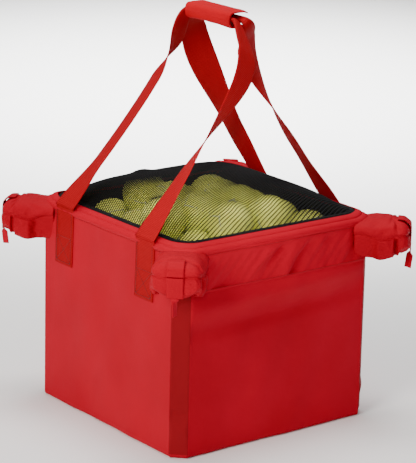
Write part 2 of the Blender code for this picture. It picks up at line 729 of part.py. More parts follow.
def make_pile(centres, heap):
    """The packed balls as one body: a faceted hull for each, joined at the flats."""
    flats = [{} for _ in centres]
    for i, a in enumerate(centres):
        for j in range(i + 1, len(centres)):
            if (centres[j] - a).length < PRESSED_REACH + 1e-5:
                points = press_flat(a, centres[j])
                flats[i][j] = flats[j][i] = points
    slope = TIER_RISE / PRESSED_REACH
    level_part = BALL_PITCH / 2 / PRESSED_REACH
    diagonals = [Vector((x * level_part, y * level_part, z * slope))
                 for x in (-1, 1) for y in (-1, 1) for z in (-1, 1)]
    axes = [Vector(v) for v in ((1, 0, 0), (-1, 0, 0), (0, 1, 0), (0, -1, 0), (0, 0, 1), (0, 0, -1))]
    shape = bmesh.new()
    shared = {}
    for i, centre in enumerate(centres):
        pressed = [(centres[j] - centre).normalized() for j in flats[i]]
        loaded = touching(centre, heap)
        free = [d for d in diagonals + axes if all(d.dot(t) < 0.9 for t in pressed + loaded)]
        points = [(centre + d * BALL / 2, None) for d in free + loaded]
        for j, flat in flats[i].items():
            points += [(point, (min(i, j), max(i, j), k)) for k, point in enumerate(flat)]
        hull = bmesh.new()
        for point, _ in points:
            hull.verts.new(point)
        hull.verts.index_update()
        bmesh.ops.convex_hull(hull, input=hull.verts)
        own = {}
        for face in hull.faces:
            keys = [points[v.index][1] for v in face.verts]
            if None not in keys and len({key[:2] for key in keys}) == 1:
                continue
            corners = []
            for v, key in zip(face.verts, keys):
                known = own if key is None else shared
                label = v.index if key is None else key
                if label not in known:
                    known[label] = shape.verts.new(points[v.index][0])
                corners.append(known[label])
            shape.faces.new(corners)
        hull.free()
    place("ball_pile", shape, FELT)


def make_ball(name, centre, contacts):
    """Loose ball, with a corner in each direction where it lies on another one."""
    spread = math.asin(TIER_RISE / PRESSED_REACH) / 2
    ways = [Vector((0, 0, 1)), Vector((0, 0, -1))]
    for step in range(-3, 4):
        for k in range(12):
            turn = math.radians(15 + 30 * k)
            level = spread * step
            ways.append(Vector((math.cos(level) * math.cos(turn),
                                math.cos(level) * math.sin(turn), math.sin(level))))
    kept = [way for way in ways if all(way.dot(c) < 0.97 for c in contacts)]
    shape = bmesh.new()
    for way in kept + contacts:
        shape.verts.new(centre + way * (BALL / 2))
    bmesh.ops.convex_hull(shape, input=shape.verts)
    place(name, shape, FELT, origin=centre, smooth_angle=80)


def make_balls():
    """The packed tiers, and the loose heap on top of them."""
    packed = [centre for level in range(BALL_TIERS) for centre in tier(level)]
    heap = [resting_place(x * BALL_PITCH, y * BALL_PITCH) for x, y in HEAP]
    make_pile(packed, heap)
    for number, centre in enumerate(heap, start=1):
        make_ball(f"ball_{number}", centre, touching(centre, packed + heap))


make_body()
make_rim()
make_lid()
make_slider()
make_anchors()
for handle_side in ("left", "right"):
    make_handle(handle_side)
make_wrap()
for corner_name in CORNERS:
    make_sleeve(corner_name)
make_balls()
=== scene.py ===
import math

import bmesh
import bpy
import numpy as np
from mathutils import Matrix, Quaternion, Vector


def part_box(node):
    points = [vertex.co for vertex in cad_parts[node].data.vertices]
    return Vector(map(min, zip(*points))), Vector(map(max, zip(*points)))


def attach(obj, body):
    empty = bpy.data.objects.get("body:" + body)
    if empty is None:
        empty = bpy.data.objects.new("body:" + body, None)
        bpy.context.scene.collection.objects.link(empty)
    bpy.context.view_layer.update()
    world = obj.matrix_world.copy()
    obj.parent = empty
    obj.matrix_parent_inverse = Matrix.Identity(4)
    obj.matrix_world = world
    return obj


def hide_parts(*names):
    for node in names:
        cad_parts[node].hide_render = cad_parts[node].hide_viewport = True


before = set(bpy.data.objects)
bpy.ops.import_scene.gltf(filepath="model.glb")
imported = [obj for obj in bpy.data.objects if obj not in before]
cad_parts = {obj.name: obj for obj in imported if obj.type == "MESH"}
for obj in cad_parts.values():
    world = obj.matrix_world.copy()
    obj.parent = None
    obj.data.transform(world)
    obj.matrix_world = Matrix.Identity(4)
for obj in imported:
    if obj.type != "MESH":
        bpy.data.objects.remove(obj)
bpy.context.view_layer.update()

# The photograph's view: a long lens, level with the upper half of the bag and turned to its
# front left corner. A large soft light stands to the left, one lamp whitens the floor behind,
# and a narrow one reaches the balls through the net.
VIEW_TURN = math.radians(-37.6416)
VIEW_RISE = math.radians(15.9053)
VIEW_ROLL = math.radians(1.36248)
VIEW_DISTANCE = 3.4
VIEW_TARGET = Vector((0.00333, -0.00257, 0.26808))
PHOTO_WIDTH = 416
FOCAL_PIXELS = 2294.98
SENSOR_WIDTH = 36.0
SKY_STRENGTH = 0.34
FLOOR_HALF = 9
LIGHTS = (
    # name, kind, place, aim, colour, and the lamp's own settings
    ("key_left", "AREA", (-2.8, -0.9, 1.7), VIEW_TARGET, "#FFF8F2", {"energy": 84, "size": 1.3}),
    ("fill_front", "AREA", (1.2, -3.4, 1.3), VIEW_TARGET, "#FFFFFF", {"energy": 5, "size": 2.0}),
    ("top", "AREA", (0.2, 0.3, 3.0), VIEW_TARGET, "#FFFFFF", {"energy": 80, "size": 1.6}),
    ("backdrop", "SPOT", (1.35, 1.75, 2.4), (1.35, 1.75, 0), "#FFFFFF",
     {"energy": 1300, "spot_size": math.radians(76), "spot_blend": 1, "shadow_soft_size": 0.4}),
    ("through_net", "SPOT", (-1.9, -2.3, 1.45), (0, 0, 0.360), "#FFFFFF",
     {"energy": 480, "spot_size": math.radians(6.8), "spot_blend": 1, "shadow_soft_size": 0.12}))


def hex_colour(code):
    """Linear colour from an sRGB hex code."""
    parts = [int(code[i:i + 2], 16) / 255 for i in (1, 3, 5)]
    linear = [p / 12.92 if p <= 0.04045 else ((p + 0.055) / 1.055) ** 2.4 for p in parts]
    return (*linear, 1.0)


def new_finish(name, code, roughness, **sockets):
    """Start a material whose even values sit on the shader's own sockets."""
    finish = bpy.data.materials.new(name)
    finish.use_nodes = True
    shader = finish.node_tree.nodes["Principled BSDF"]
    sockets.update(Base_Color=hex_colour(code), Roughness=roughness)
    for socket, value in sockets.items():
        shader.inputs[socket.replace("_", " ")].default_value = value
    return finish


def put(name, data):
    """Set an object down in the scene."""
    thing = bpy.data.objects.new(name, data)
    bpy.context.scene.collection.objects.link(thing)
    return thing


lens = bpy.data.cameras.new("photo_view")
lens.sensor_fit = "HORIZONTAL"
lens.sensor_width = SENSOR_WIDTH
lens.lens = FOCAL_PIXELS * SENSOR_WIDTH / PHOTO_WIDTH
camera = put("photo_view", lens)
camera.matrix_world = (Matrix.Translation(VIEW_TARGET) @ Matrix.Rotation(VIEW_TURN, 4, "Z")
                       @ Matrix.Rotation(math.pi / 2 - VIEW_RISE, 4, "X")
                       @ Matrix.Rotation(VIEW_ROLL, 4, "Z")
                       @ Matrix.Translation((0, 0, VIEW_DISTANCE)))
bpy.context.scene.camera = camera
for name, kind, place, aim, code, settings in LIGHTS:
    lamp = bpy.data.lights.new(name, kind)
    lamp.color = hex_colour(code)[:3]
    for key, value in settings.items():
        setattr(lamp, key, value)
    stand = put(name, lamp)
    stand.location = place
    stand.rotation_euler = (Vector(aim) - Vector(place)).to_track_quat("-Z", "Y").to_euler()
sky = bpy.data.worlds.new("studio")
sky.use_nodes = True
sky.node_tree.nodes["Background"].inputs["Color"].default_value = hex_colour("#FFFFFF")
sky.node_tree.nodes["Background"].inputs["Strength"].default_value = SKY_STRENGTH
bpy.context.scene.world = sky
floor_mesh = bpy.data.meshes.new("floor")
floor_mesh.from_pydata([(x * FLOOR_HALF, y * FLOOR_HALF, 0)
                        for x, y in ((-1, -1), (1, -1), (1, 1), (-1, 1))], [], [(0, 1, 2, 3)])
floor_mesh.materials.append(new_finish("matt_studio_paper", "#FDFDFC", 0.9))
put("floor", floor_mesh)

# Bag: one shell of 600 denier woven polyester with a thin coating and a foam lining. It is sewn
# from four faces, four folded corner bands and a bottom, and swells a little over the balls.
YARN_PITCH = 0.0016      # wider than real yarns, which are too fine to show
CRINKLE = 1 / 70         # creases of the coating
MOTTLE = 1 / 9           # cloudy patches of wear
BAND_SCALE = math.pi / 10  # scale of a wave texture whose bands are a metre apart
WALL = 0.0022
FACE_COLUMNS = 118
BAND_COLUMNS = 10
ROW_PITCH = 0.0016       # of the mesh on the collar and the fold below it
LOWER_ROW_PITCH = 0.0030
LOWER_ROWS = 0.238       # height where the wider rows start
EDGE_RADIUS = 0.006      # bottom edge
EDGE_STEPS = 6
BELLY = 0.0026           # how far the balls push a face out
FACE_WAVES = (
    # depth, waves along the face, waves up it, shift from face to face
    (0.0010, 0.8, 1.4, 1.7), (0.0005, 2.1, -1.2, 0.9))
PUCKERS = (
    # foot along the face, lean, depth, width: pulled by the stitches over the collar
    (-0.112, 1.1, 0.0032, 0.018), (-0.041, 0.95, 0.0050, 0.0095), (0.015, 0.95, 0.0056, 0.0090),
    (0.083, 0.2, 0.0036, 0.008), (0.129, 0.4, 0.0040, 0.009))
PUCKER_TOP = (0.285, 0.297)  # heights over which the puckers run out
FINE_CREASE = 0.0004
CREASE_PITCH = 0.017
FACE_SEAM = 0.0007       # rise of the cloth at the seams of a face
COLLAR_PLY = 0.0011
COLLAR_GROOVE = 0.0008
ROLL_LEVEL = 0.227       # soft roll that runs across the front, climbing to the right
ROLL_CLIMB = 0.05
ROLL_RISE = 0.0066
ROLL_WIDTH = 0.016
VALLEY_DROP = 0.034      # of the hollow under the roll
VALLEY_DEPTH = 0.0042
VALLEY_WIDTH = 0.013
HEEL_DENTS = (0.0012, 0.0024)  # depth on the right bands, and on the left ones
HEEL_LEVELS = (0.042, 0.066)
SIDES = ("front", "right", "back", "left")
CORNERS = {"front_left": (-1, -1), "front_right": (1, -1), "back_right": (1, 1),
           "back_left": (-1, 1)}
bag_half = -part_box("panel_left")[0].x
wall_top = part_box("panel_left")[1].z
face_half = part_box("panel_front")[1].x
collar_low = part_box("collar_front")[0].z


def add(finish, kind, output, settings=None, links=None):
    """Add a node to a material, set its values, link its inputs and return one output."""
    node = finish.node_tree.nodes.new(f"ShaderNode{kind}")
    for key, value in (settings or {}).items():
        if isinstance(key, int) or key in node.inputs:
            node.inputs[key].default_value = value
        else:
            setattr(node, key, value)
    for key, source in (links or {}).items():
        finish.node_tree.links.new(source, node.inputs[key])
    return node.outputs[output]


def join(finish, **sources):
    """Link outputs to the sockets of a material's shader."""
    shader = finish.node_tree.nodes["Principled BSDF"]
    for socket, source in sources.items():
        finish.node_tree.links.new(source, shader.inputs[socket.replace("_", " ")])


def weave(finish, warp_pitch, weft_pitch):
    """Height of crossing yarns, which stand up where both do."""
    lay = add(finish, "Attribute", "Vector", {"attribute_name": "lay"})
    warp, weft = [add(finish, "TexWave", "Fac",
                      {"bands_direction": axis, "Scale": BAND_SCALE / pitch}, {"Vector": lay})
                  for axis, pitch in (("X", warp_pitch), ("Y", weft_pitch))]
    return add(finish, "Math", 0, {"operation": "MULTIPLY"}, {0: warp, 1: weft})


def coated_polyester(name, code, worn_code, roughness=0.58):
    """Woven polyester, coated on its back: satin, with faint yarns and soft mottling."""
    finish = new_finish(name, code, roughness, Specular_IOR_Level=0.07, Sheen_Weight=0.03,
                        Specular_Tint=hex_colour("#FF8088"), Sheen_Tint=hex_colour("#E8303C"))
    where = add(finish, "TexCoord", "Object")
    crinkle, mottle = [add(finish, "TexNoise", "Fac", {"Scale": 1 / size, "Detail": detail},
                           {"Vector": where}) for size, detail in ((CRINKLE, 3), (MOTTLE, 4))]
    worn = add(finish, "MapRange", "Result", {"From Min": 0.35, "From Max": 0.7},
               {"Value": mottle})
    tone = add(finish, "Mix", 2, {"data_type": "RGBA", 6: hex_colour(code),
                                  7: hex_colour(worn_code)}, {0: worn})
    yarns = add(finish, "Bump", "Normal", {"Strength": 0.35, "Distance": 0.0004},
                {"Height": weave(finish, YARN_PITCH, YARN_PITCH)})
    relief = add(finish, "Bump", "Normal", {"Strength": 0.35, "Distance": 0.0012},
                 {"Height": crinkle, "Normal": yarns})
    join(finish, Base_Color=tone, Normal=relief)
    return finish


def grid_faces(rows, columns, closed_rows=False, closed_columns=False, start=0):
    """Quads between the points of a grid laid out row by row."""
    i, j = np.meshgrid(np.arange(rows - (not closed_rows)),
                       np.arange(columns - (not closed_columns)), indexing="ij")
    i2 = (i + 1) % rows
    j2 = (j + 1) % columns
    quads = (i * columns + j, i * columns + j2, i2 * columns + j2, i2 * columns + j)
    return (np.stack(quads, axis=-1).reshape(-1, 4) + start).tolist()


def cut_piece(name, points, faces, finish, lay=None):
    """Make an object; lay gives each point's place along the cloth, in metres."""
    mesh = bpy.data.meshes.new(name)
    mesh.from_pydata(np.asarray(points).reshape(-1, 3).tolist(), [], faces)
    if lay is not None:
        layer = mesh.attributes.new("lay", "FLOAT_VECTOR", "POINT")
        flat = np.asarray(lay, float).reshape(-1, 2)
        layer.data.foreach_set("vector", np.pad(flat, ((0, 0), (0, 1))).ravel())
    mesh.polygons.foreach_set("use_smooth", [True] * len(mesh.polygons))
    mesh.materials.append(finish)
    mesh.update()
    return put(name, mesh)


def dress(piece, body, slot, *stands_for):
    """Fix a piece to its body and hide the solids that it stands for; the slot is not used."""
    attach(piece, body)
    if stands_for:
        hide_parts(*stands_for)


def step(value, low, high):
    """Smooth step from 0 at low to 1 at high."""
    t = np.clip((value - low) / (high - low), 0, 1)
    return t * t * (3 - 2 * t)


def hump(value, middle, width):
    """Soft rise of height 1 at the middle."""
    return np.exp(-((value - middle) / width) ** 2)


def face_ways(side):
    """The way along a face, anticlockwise, and the way out of it."""
    turn = side * math.pi / 2
    return (np.array([math.cos(turn), math.sin(turn), 0]),
            np.array([math.sin(turn), -math.cos(turn), 0]))


def face_swell(side, s, z):
    """How far a face stands out: side 0 front, 1 right, 2 back, 3 left."""
    u = s / face_half
    h = z / wall_top
    edge = np.clip(1 - u ** 2, 0, 1)
    out = BELLY * edge ** 0.7 * np.sin(math.pi * np.clip(h, 0, 1)) ** 0.8
    for depth, along, up, shift in FACE_WAVES:
        out += depth * edge * np.sin(2 * math.pi * (along * u + up * h) + shift * side)
    out += FACE_SEAM * hump(np.abs(u), 1.0, 0.012)
    if side % 2 == 1:
        return out
    inside = step(z, collar_low, collar_low + 0.006) * (1 - step(z, *PUCKER_TOP))
    for foot, lean, deep, width in PUCKERS:
        rise = z - collar_low
        line = foot + lean * rise + 0.003 * np.sin(rise / 0.009 + foot * 90)
        depth = deep * (0.55 + 0.45 * np.sin(rise / 0.014 + foot * 40))
        out -= inside * depth * (hump(s, line, width) - 0.5 * hump(s, line - 2.2 * width, width))
    out += inside * FINE_CREASE * np.sin(2 * math.pi * (s - 0.9 * z) / CREASE_PITCH)
    out += COLLAR_PLY * step(z, collar_low - 0.0006, collar_low + 0.0006)
    out -= COLLAR_GROOVE * hump(z, collar_low - 0.0005, 0.0012)
    roll = ROLL_LEVEL + ROLL_CLIMB * s
    out += ROLL_RISE * edge ** 0.3 * hump(z, roll, ROLL_WIDTH)
    out -= VALLEY_DEPTH * edge ** 0.3 * hump(z, roll - VALLEY_DROP, VALLEY_WIDTH)
    return out


def bag_ring(inset, z):
    """Points of the shell at one height, anticlockwise from the front face's left end."""
    half = bag_half - inset
    s = np.linspace(-face_half, face_half, FACE_COLUMNS)
    fold = (half - face_half) * np.linspace(0, 1, BAND_COLUMNS + 2)[1:-1]
    points = []
    lay = []
    for side in range(4):
        along, out = face_ways(side)
        heel = hump(z, HEEL_LEVELS[0], 0.013) - 0.9 * hump(z, HEEL_LEVELS[1], 0.008)
        shift = HEEL_DENTS[side in (0, 3)] * heel * math.sqrt(0.5)
        reach = np.concatenate((s, face_half + fold + shift))
        depth = np.concatenate((half + face_swell(side, s, z), half - fold + shift))
        points.append(reach[:, None] * along + depth[:, None] * out + np.array([0, 0, z]))
        lay.append(side * 2 * bag_half + np.concatenate((s, face_half + fold * math.sqrt(2))))
    return np.vstack(points), np.concatenate(lay)


def make_bag():
    """The shell from the rim down, round the bottom edge and in under the bottom."""
    wall_rows = np.concatenate((np.arange(wall_top, LOWER_ROWS, -ROW_PITCH),
                                np.arange(LOWER_ROWS, EDGE_RADIUS, -LOWER_ROW_PITCH)))
    turns = np.linspace(0, math.pi / 2, EDGE_STEPS)
    insets = np.concatenate((0 * wall_rows, EDGE_RADIUS * (1 - np.cos(turns))))
    levels = np.concatenate((wall_rows, EDGE_RADIUS * (1 - np.sin(turns))))
    rings = []
    lays = []
    for inset, z in zip(insets, levels):
        ring, lay = bag_ring(inset, z)
        rings.append(ring)
        lays.append(np.column_stack((lay, np.full(len(lay), z))))
    lowest = rings[-1]
    for share in (0.9, 0.75, 0.6, 0.45, 0.3, 0.15, 0.02):
        rings.append(lowest * np.array([share, share, 1]))
        lays.append(rings[-1][:, :2])
    columns = len(lowest)
    faces = [face[::-1] for face in grid_faces(len(rings), columns, closed_columns=True)]
    faces.append(list(range((len(rings) - 1) * columns, len(rings) * columns)))
    bag = cut_piece("bag_shell", np.vstack(rings), faces, RED_CLOTH, np.vstack(lays))
    for finish in (RED_FOLD_PAINTED_SHADE, INNER_PAINTED_SHADE, INNER_PAINTED_SHADE):
        bag.data.materials.append(finish)
    # Faces of the corner bands take a darker copy of the cloth: painted shade of the folds.
    for k, face in enumerate(bag.data.polygons):
        column = k % columns % (FACE_COLUMNS + BAND_COLUMNS)
        face.material_index = int(FACE_COLUMNS - 1 <= column and k < len(wall_rows) * columns)
    # The solidify gives the inside of the shell the near-black finish: painted shade of the bag's
    # inside.
    wall = bag.modifiers.new("lining", "SOLIDIFY")
    wall.thickness = WALL
    wall.offset = -1
    wall.material_offset = 2
    return bag


RED_CLOTH = coated_polyester("coated_woven_polyester", "#B40A25", "#A80A21")
# Corner bands: a darker copy of the cloth, as painted shade of the folds.
RED_FOLD_PAINTED_SHADE = coated_polyester("coated_woven_polyester_painted_fold_shade", "#8C161F", "#84141C")
# Inside of the shell: near black, painted shade for the dark inside of the bag seen through the
# net.
INNER_PAINTED_SHADE = coated_polyester("black_inside_painted_shade", "#141415", "#101011", 0.5)
dress(make_bag(), "root", "red_polyester", *[f"panel_{side}" for side in SIDES], "panel_bottom",
      "collar_front", "collar_back", *[f"corner_band_{corner}" for corner in CORNERS])

# Base board: a loose plastic sheet that keeps the bottom square. It is cut from extruded board,
# with a fine matt grain from the rollers.
ROLLER_GRAIN = 0.0008


def fine_grain(finish, size, strength, depth):
    """Give a finish an even grain of one size, in metres, which breaks up its shine."""
    grain = add(finish, "TexNoise", "Fac", {"Scale": 1 / size, "Detail": 2},
                {"Vector": add(finish, "TexCoord", "Object")})
    join(finish, Normal=add(finish, "Bump", "Normal", {"Strength": strength, "Distance": depth},
                            {"Height": grain}))
    return finish


def coat_solid(name, finish):
    """Give a solid that is shown as it is its finish."""
    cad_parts[name].data.materials.clear()
    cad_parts[name].data.materials.append(finish)


BOARD = new_finish("extruded_polypropylene_board", "#4A4A4C", 0.55)
coat_solid("base_board", fine_grain(BOARD, ROLLER_GRAIN, 0.3, 0.0002))

# Rim: the top hem of the shell, folded over and sewn down beside a corded piping, so it shows
# as two soft red ridges with a groove between them.
RIM_CORNER_STEPS = 14
RIM_SIDE_STEPS = 60
RIDGES = 29              # points over both ridges
RIDGE_RISE = 0.0024
HEM_PLY = 0.0016
HEM_WAVE = 0.00025
ZIP_CORNER = 0.028       # corner of the zip in plan
HEM_CORNER = 0.0316
HIGH_CORNERS = ("front_right", "back_left")
HIGH_RISE = 0.0035
HIGH_PLACE = 0.163       # of the raised corners' middle
HIGH_WIDTH = 0.016
rim_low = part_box("rim_shoulder")[0]
piping_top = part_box("rim_piping")[1]
tape_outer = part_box("zip_tape")[1].x
zip_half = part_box("zip_coil_lid")[1].x


def run_along(line):
    """Length of a line of points up to each of them."""
    steps = np.linalg.norm(np.diff(line, axis=0), axis=1)
    return np.concatenate(([0], np.cumsum(steps)))


def rounded_square(half, radius, side_steps=RIM_SIDE_STEPS, corner_steps=RIM_CORNER_STEPS):
    """Points, outward ways and lengths round a square with round corners, anticlockwise."""
    inner = half - radius
    points = []
    ways = []
    for side in range(4):
        along, out = (way[:2] for way in face_ways(side))
        for k in range(side_steps):
            points.append(along * inner * (2 * k / side_steps - 1) + out * half)
            ways.append(out)
        for a in np.arange(corner_steps) / corner_steps * math.pi / 2:
            ways.append(out * math.cos(a) + along * math.sin(a))
            points.append((along + out) * inner + ways[-1] * radius)
    return np.array(points), np.array(ways), run_along(points + points[:1])[:-1]


def sweep(name, profile, finish, wave=0.0, seed=1.0, lift=None):
    """Closed strip round the rim from a closed profile of (half width, radius, height)."""
    rings = []
    lays = []
    for (half, radius, height), across in zip(profile, run_along(np.array(profile)[:, ::2])):
        points, ways, run = rounded_square(half, radius)
        waver = wave * (np.sin(run / 0.013 * seed) + np.sin(run / 0.031 + seed)) * 0.5
        z = height + waver + (lift(points) if lift else 0)
        rings.append(np.column_stack((points + ways * waver[:, None], z)))
        lays.append(np.column_stack((run, np.full(len(run), across))))
    faces = grid_faces(len(rings), len(rings[0]), closed_rows=True, closed_columns=True)
    return cut_piece(name, np.vstack(rings), faces, finish, np.vstack(lays))


def corner_lift(points):
    """The stiff hem stands up a little at two corners."""
    away = [np.linalg.norm(points - HIGH_PLACE * np.array(CORNERS[corner]), axis=1)
            for corner in HIGH_CORNERS]
    return HIGH_RISE * sum(hump(distance, 0, HIGH_WIDTH) for distance in away)


hem_outer = []
for share in np.arange(RIDGES) / (RIDGES - 1):
    swell = RIDGE_RISE * abs(math.sin(math.pi * 1.75 * share)) ** 0.5
    hem_half = bag_half + 0.0012 - share ** 1.5 * (bag_half - tape_outer + 0.0014)
    height = rim_low.z - 0.0022 + (piping_top.z - rim_low.z) * share ** 0.75
    hem_corner = HEM_CORNER + (ZIP_CORNER + tape_outer - zip_half - HEM_CORNER) * share
    hem_outer.append((hem_half + swell * 0.6, hem_corner, height + swell * 0.5))
hem_inner = [(half - HEM_PLY * 0.9, radius, height - HEM_PLY * 0.6)
             for half, radius, height in hem_outer[:-2]]
hem_profile = (hem_outer + hem_inner[::-1])[::-1]
dress(sweep("rim_hem", hem_profile, RED_CLOTH, HEM_WAVE, lift=corner_lift), "root",
      "red_polyester", "rim_shoulder", "rim_piping")

# Stitching: bonded polyester thread in lock stitch, a shade darker than the cloth, which sinks
# a little into it. One row runs under the rim, and one along the foot of each collar.
STITCH_LENGTH = 0.0030
STITCH_GAP = 0.0012
STITCH_SINK = (-0.6, 0.35, 0.6, 0.35, -0.6)  # rise along a stitch, in thread radii
THREAD = 0.00045
THREAD_SIDES = 6
RIM_SEAM = 0.2965
COLLAR_SEAM = 0.0022     # above the collar's foot
COLLAR_POINTS = 200
PROUD = 0.0001           # how far the line of a seam stands off the cloth
RED_THREAD = new_finish("bonded_polyester_thread", "#8A0A12", 0.5, Specular_IOR_Level=0.2)
DARK_THREAD = new_finish("bonded_polyester_thread_dark", "#4A060A", 0.5)


def unit(ways):
    """Ways of length 1."""
    return ways / np.linalg.norm(ways, axis=-1, keepdims=True)


def tube_faces(rings, sides, start=0):
    """Faces of a tube made of rings of points, with both of its ends closed."""
    last = start + (rings - 1) * sides
    return [*grid_faces(rings, sides, closed_columns=True, start=start),
            list(range(start + sides - 1, start - 1, -1)), list(range(last, last + sides))]


def stitches(name, line, ways, finish, slot, length=STITCH_LENGTH, thick=THREAD):
    """Row of stitches along a dense line of points; ways point out of the cloth."""
    run = run_along(line)
    starts = np.arange(STITCH_GAP, run[-1] - length, length + STITCH_GAP)
    at = starts[:, None] + np.linspace(0, 1, len(STITCH_SINK)) * length
    middle, out = [np.stack([np.interp(at, run, rows[:, k]) for k in range(3)], axis=-1)
                   for rows in (line, ways)]
    out = unit(out)
    side = np.cross(out, unit(middle[:, -1:] - middle[:, :1]))
    middle = middle + out * (np.array(STITCH_SINK) * thick)[None, :, None]
    rings = [middle + thick * (side * math.cos(a) + out * math.sin(a) * 0.8)
             for a in np.arange(THREAD_SIDES) * 2 * math.pi / THREAD_SIDES]
    faces = []
    for k in range(len(starts)):
        faces += tube_faces(len(STITCH_SINK), THREAD_SIDES, k * len(STITCH_SINK) * THREAD_SIDES)
    dress(cut_piece(name, np.stack(rings, axis=2), faces, finish), "root", slot)


ring, _ = bag_ring(-PROUD, RIM_SEAM)
ring = np.vstack((ring, ring[:1]))
ways = ring * np.array([1, 1, 0])
ways[np.abs(ways) <= 0.93 * np.abs(ways).max(axis=1, keepdims=True)] = 0
stitches("rim_stitching", ring, ways, RED_THREAD, "red_polyester")
s = np.linspace(-face_half + 0.002, face_half - 0.002, COLLAR_POINTS)
z = np.full(COLLAR_POINTS, collar_low + COLLAR_SEAM)
for side in (0, 2):
    along, out = face_ways(side)
    stand_out = bag_half + face_swell(side, s, z) + PROUD
    line = s[:, None] * along + stand_out[:, None] * out + z[:, None] * np.array([0, 0, 1])
    stitches(f"collar_stitching_{SIDES[side]}", line, np.tile(out, (COLLAR_POINTS, 1)),
             RED_THREAD, "red_polyester")

# Zip: black polyester tape, with a nylon coil sewn along its edge in two halves. The coil is
# wound from one filament, so each half shows as a row of small round loops.
LOOP_PITCH = 0.0022
LOOP_THICK = 0.00062
LOOP_REACH = 0.0011
LOOP_RISE = 0.0009
LOOP_RINGS = 6
COIL_STEPS = (200, 40)   # points along a side of the coil's line, and round a corner
TAPE_PLY = 0.0009
TAPE_RIB = 0.0014        # wider than real ribs, which are too fine to show
HINGE_STEPS = 90
zip_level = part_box("lid_border")[0].z
tape_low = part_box("zip_tape")[0].z
coil_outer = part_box("zip_coil_rim")[1].x
zip_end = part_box("zip_coil_lid")[1].y
hinge_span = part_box("lid_hinge_strip")[1].x


def woven_tape(name, code):
    """Flat woven tape: matt black with fine ribs along it."""
    finish = new_finish(name, code, 0.78, Specular_IOR_Level=0.2)
    ribs = add(finish, "TexWave", "Fac", {"bands_direction": "X", "Scale": BAND_SCALE / TAPE_RIB},
               {"Vector": add(finish, "Attribute", "Vector", {"attribute_name": "lay"})})
    join(finish, Normal=add(finish, "Bump", "Normal", {"Strength": 0.5, "Distance": 0.0003},
                            {"Height": ribs}))
    return finish


def tape_profile(outer, inner, low, ply):
    """Flat strip with soft edges."""
    points = ((inner, low), (inner - 0.0002, low + ply / 2), (inner, low + ply),
              ((inner + outer) / 2, low + ply * 1.15), (outer, low + ply),
              (outer + 0.0002, low + ply / 2), (outer, low))
    return [(half, ZIP_CORNER + half - zip_half, height) for half, height in points]


def coil_half(name, half, way, body, node):
    """Loops of the coil along three sides; way is 1 for loops that point outwards."""
    line, ways, run = rounded_square(half, ZIP_CORNER + half - zip_half, *COIL_STEPS)
    up = np.array([0, 0, 1])
    points = []
    faces = []
    for at in np.arange(int(run[-1] / LOOP_PITCH)) * LOOP_PITCH:
        x, y, wx, wy = [np.interp(at, run, values) for values in (*line.T, *ways.T)]
        if y > zip_end - 0.0005:
            continue
        out = np.array([wx, wy, 0]) * way
        along = np.array([-wy, wx, 0]) * way
        faces += tube_faces(LOOP_RINGS, 3, len(points))
        for a in np.linspace(0, math.pi, LOOP_RINGS):
            middle = (np.array([x, y, zip_level + LOOP_REACH]) + out * LOOP_REACH * math.sin(a)
                      - up * LOOP_RISE * math.cos(a))
            lift = out * math.sin(a) - up * math.cos(a)
            for b in np.arange(3) * 2 * math.pi / 3:
                points.append(middle + (along * math.cos(b) + lift * math.sin(b)) * LOOP_THICK)
    dress(cut_piece(name, points, faces, NYLON_COIL), body, "black_zip_coil", node)


def hinge_band(name, body, node):
    """Straight folded tape at the back of the lid."""
    low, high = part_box(node)
    section = ((low.y, low.z), (low.y, high.z), ((low.y + high.y) / 2, high.z + 0.0002),
               (high.y, high.z), (high.y, low.z))
    xs = np.linspace(-hinge_span, hinge_span, HINGE_STEPS)
    points = [[(x, y, z) for y, z in section] for x in xs]
    lay = [[(x, k * 0.001) for k in range(len(section))] for x in xs]
    band = cut_piece(name, points, tube_faces(HINGE_STEPS, len(section)), BLACK_TAPE, lay)
    dress(band, body, "black_tape", node)


BLACK_TAPE = woven_tape("woven_polyester_tape", "#0D0D0E")
NYLON_COIL = new_finish("wound_nylon_filament", "#121213", 0.45, Specular_IOR_Level=0.35)
rim_tape = tape_profile(tape_outer + 0.0006, coil_outer - 0.003, tape_low + 0.001, TAPE_PLY)
dress(sweep("rim_zip_tape", rim_tape, BLACK_TAPE), "root", "black_tape", "zip_tape")
coil_half("rim_zip_coil", coil_outer, -1, "root", "zip_coil_rim")
hinge_band("hinge_fold_rim", "root", "lid_hinge_strip")

# Lid: warp-knitted black net, held in a folded tape border. Thick cords run one way and fine
# yarns tie them together. The net is pulled taut in a low dome, which the balls fill from below.
NET_TURN = math.radians(23)
NET_FAMILIES = (
    # turn, pitch, width, ply, sides of a thread: the cords, then the yarns that tie them
    (NET_TURN, 0.0041, 0.0016, 0.0010, 4),
    (NET_TURN + math.pi / 2, 0.0040, 0.00055, 0.0006, 3))
# Thicker black threads at the back and right edges: painted shade of the bag's inside, seen
# through the net.
NET_SHADE_THICKENING = 3.0           # how much deeper the threads stand at the back and right edges
NET_SHADE_THICKENING_REACH = 0.13
THREAD_STEP = 0.004
NET_CLEAR = 0.0016       # between a ball and the middle of the net
NET_GRID = 103
NET_ROUNDS = 40
DOME_RISE = 0.0330
DOME_POWER = 5
NET_LAP = 0.0026         # how far the net lies over its border
NET_SPREAD = 0.215       # how far from the middle threads are laid
CHORD_REACH = 0.24       # more than half of the net's diagonal
CHORD_STEPS = 481
YARN_FUZZ = 1 / 900
BORDER_PLY = 0.0018
BORDER_WAVE = 0.00015
BALL_RADIUS = 0.0335
net_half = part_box("lid_net")[1].x + NET_LAP
border_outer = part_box("lid_border")[1].x
ball_names = sorted(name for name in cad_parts
                    if name.startswith("ball_") and name != "ball_pile")
ball_centres = [(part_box(name)[0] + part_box(name)[1]) / 2 for name in ball_names]


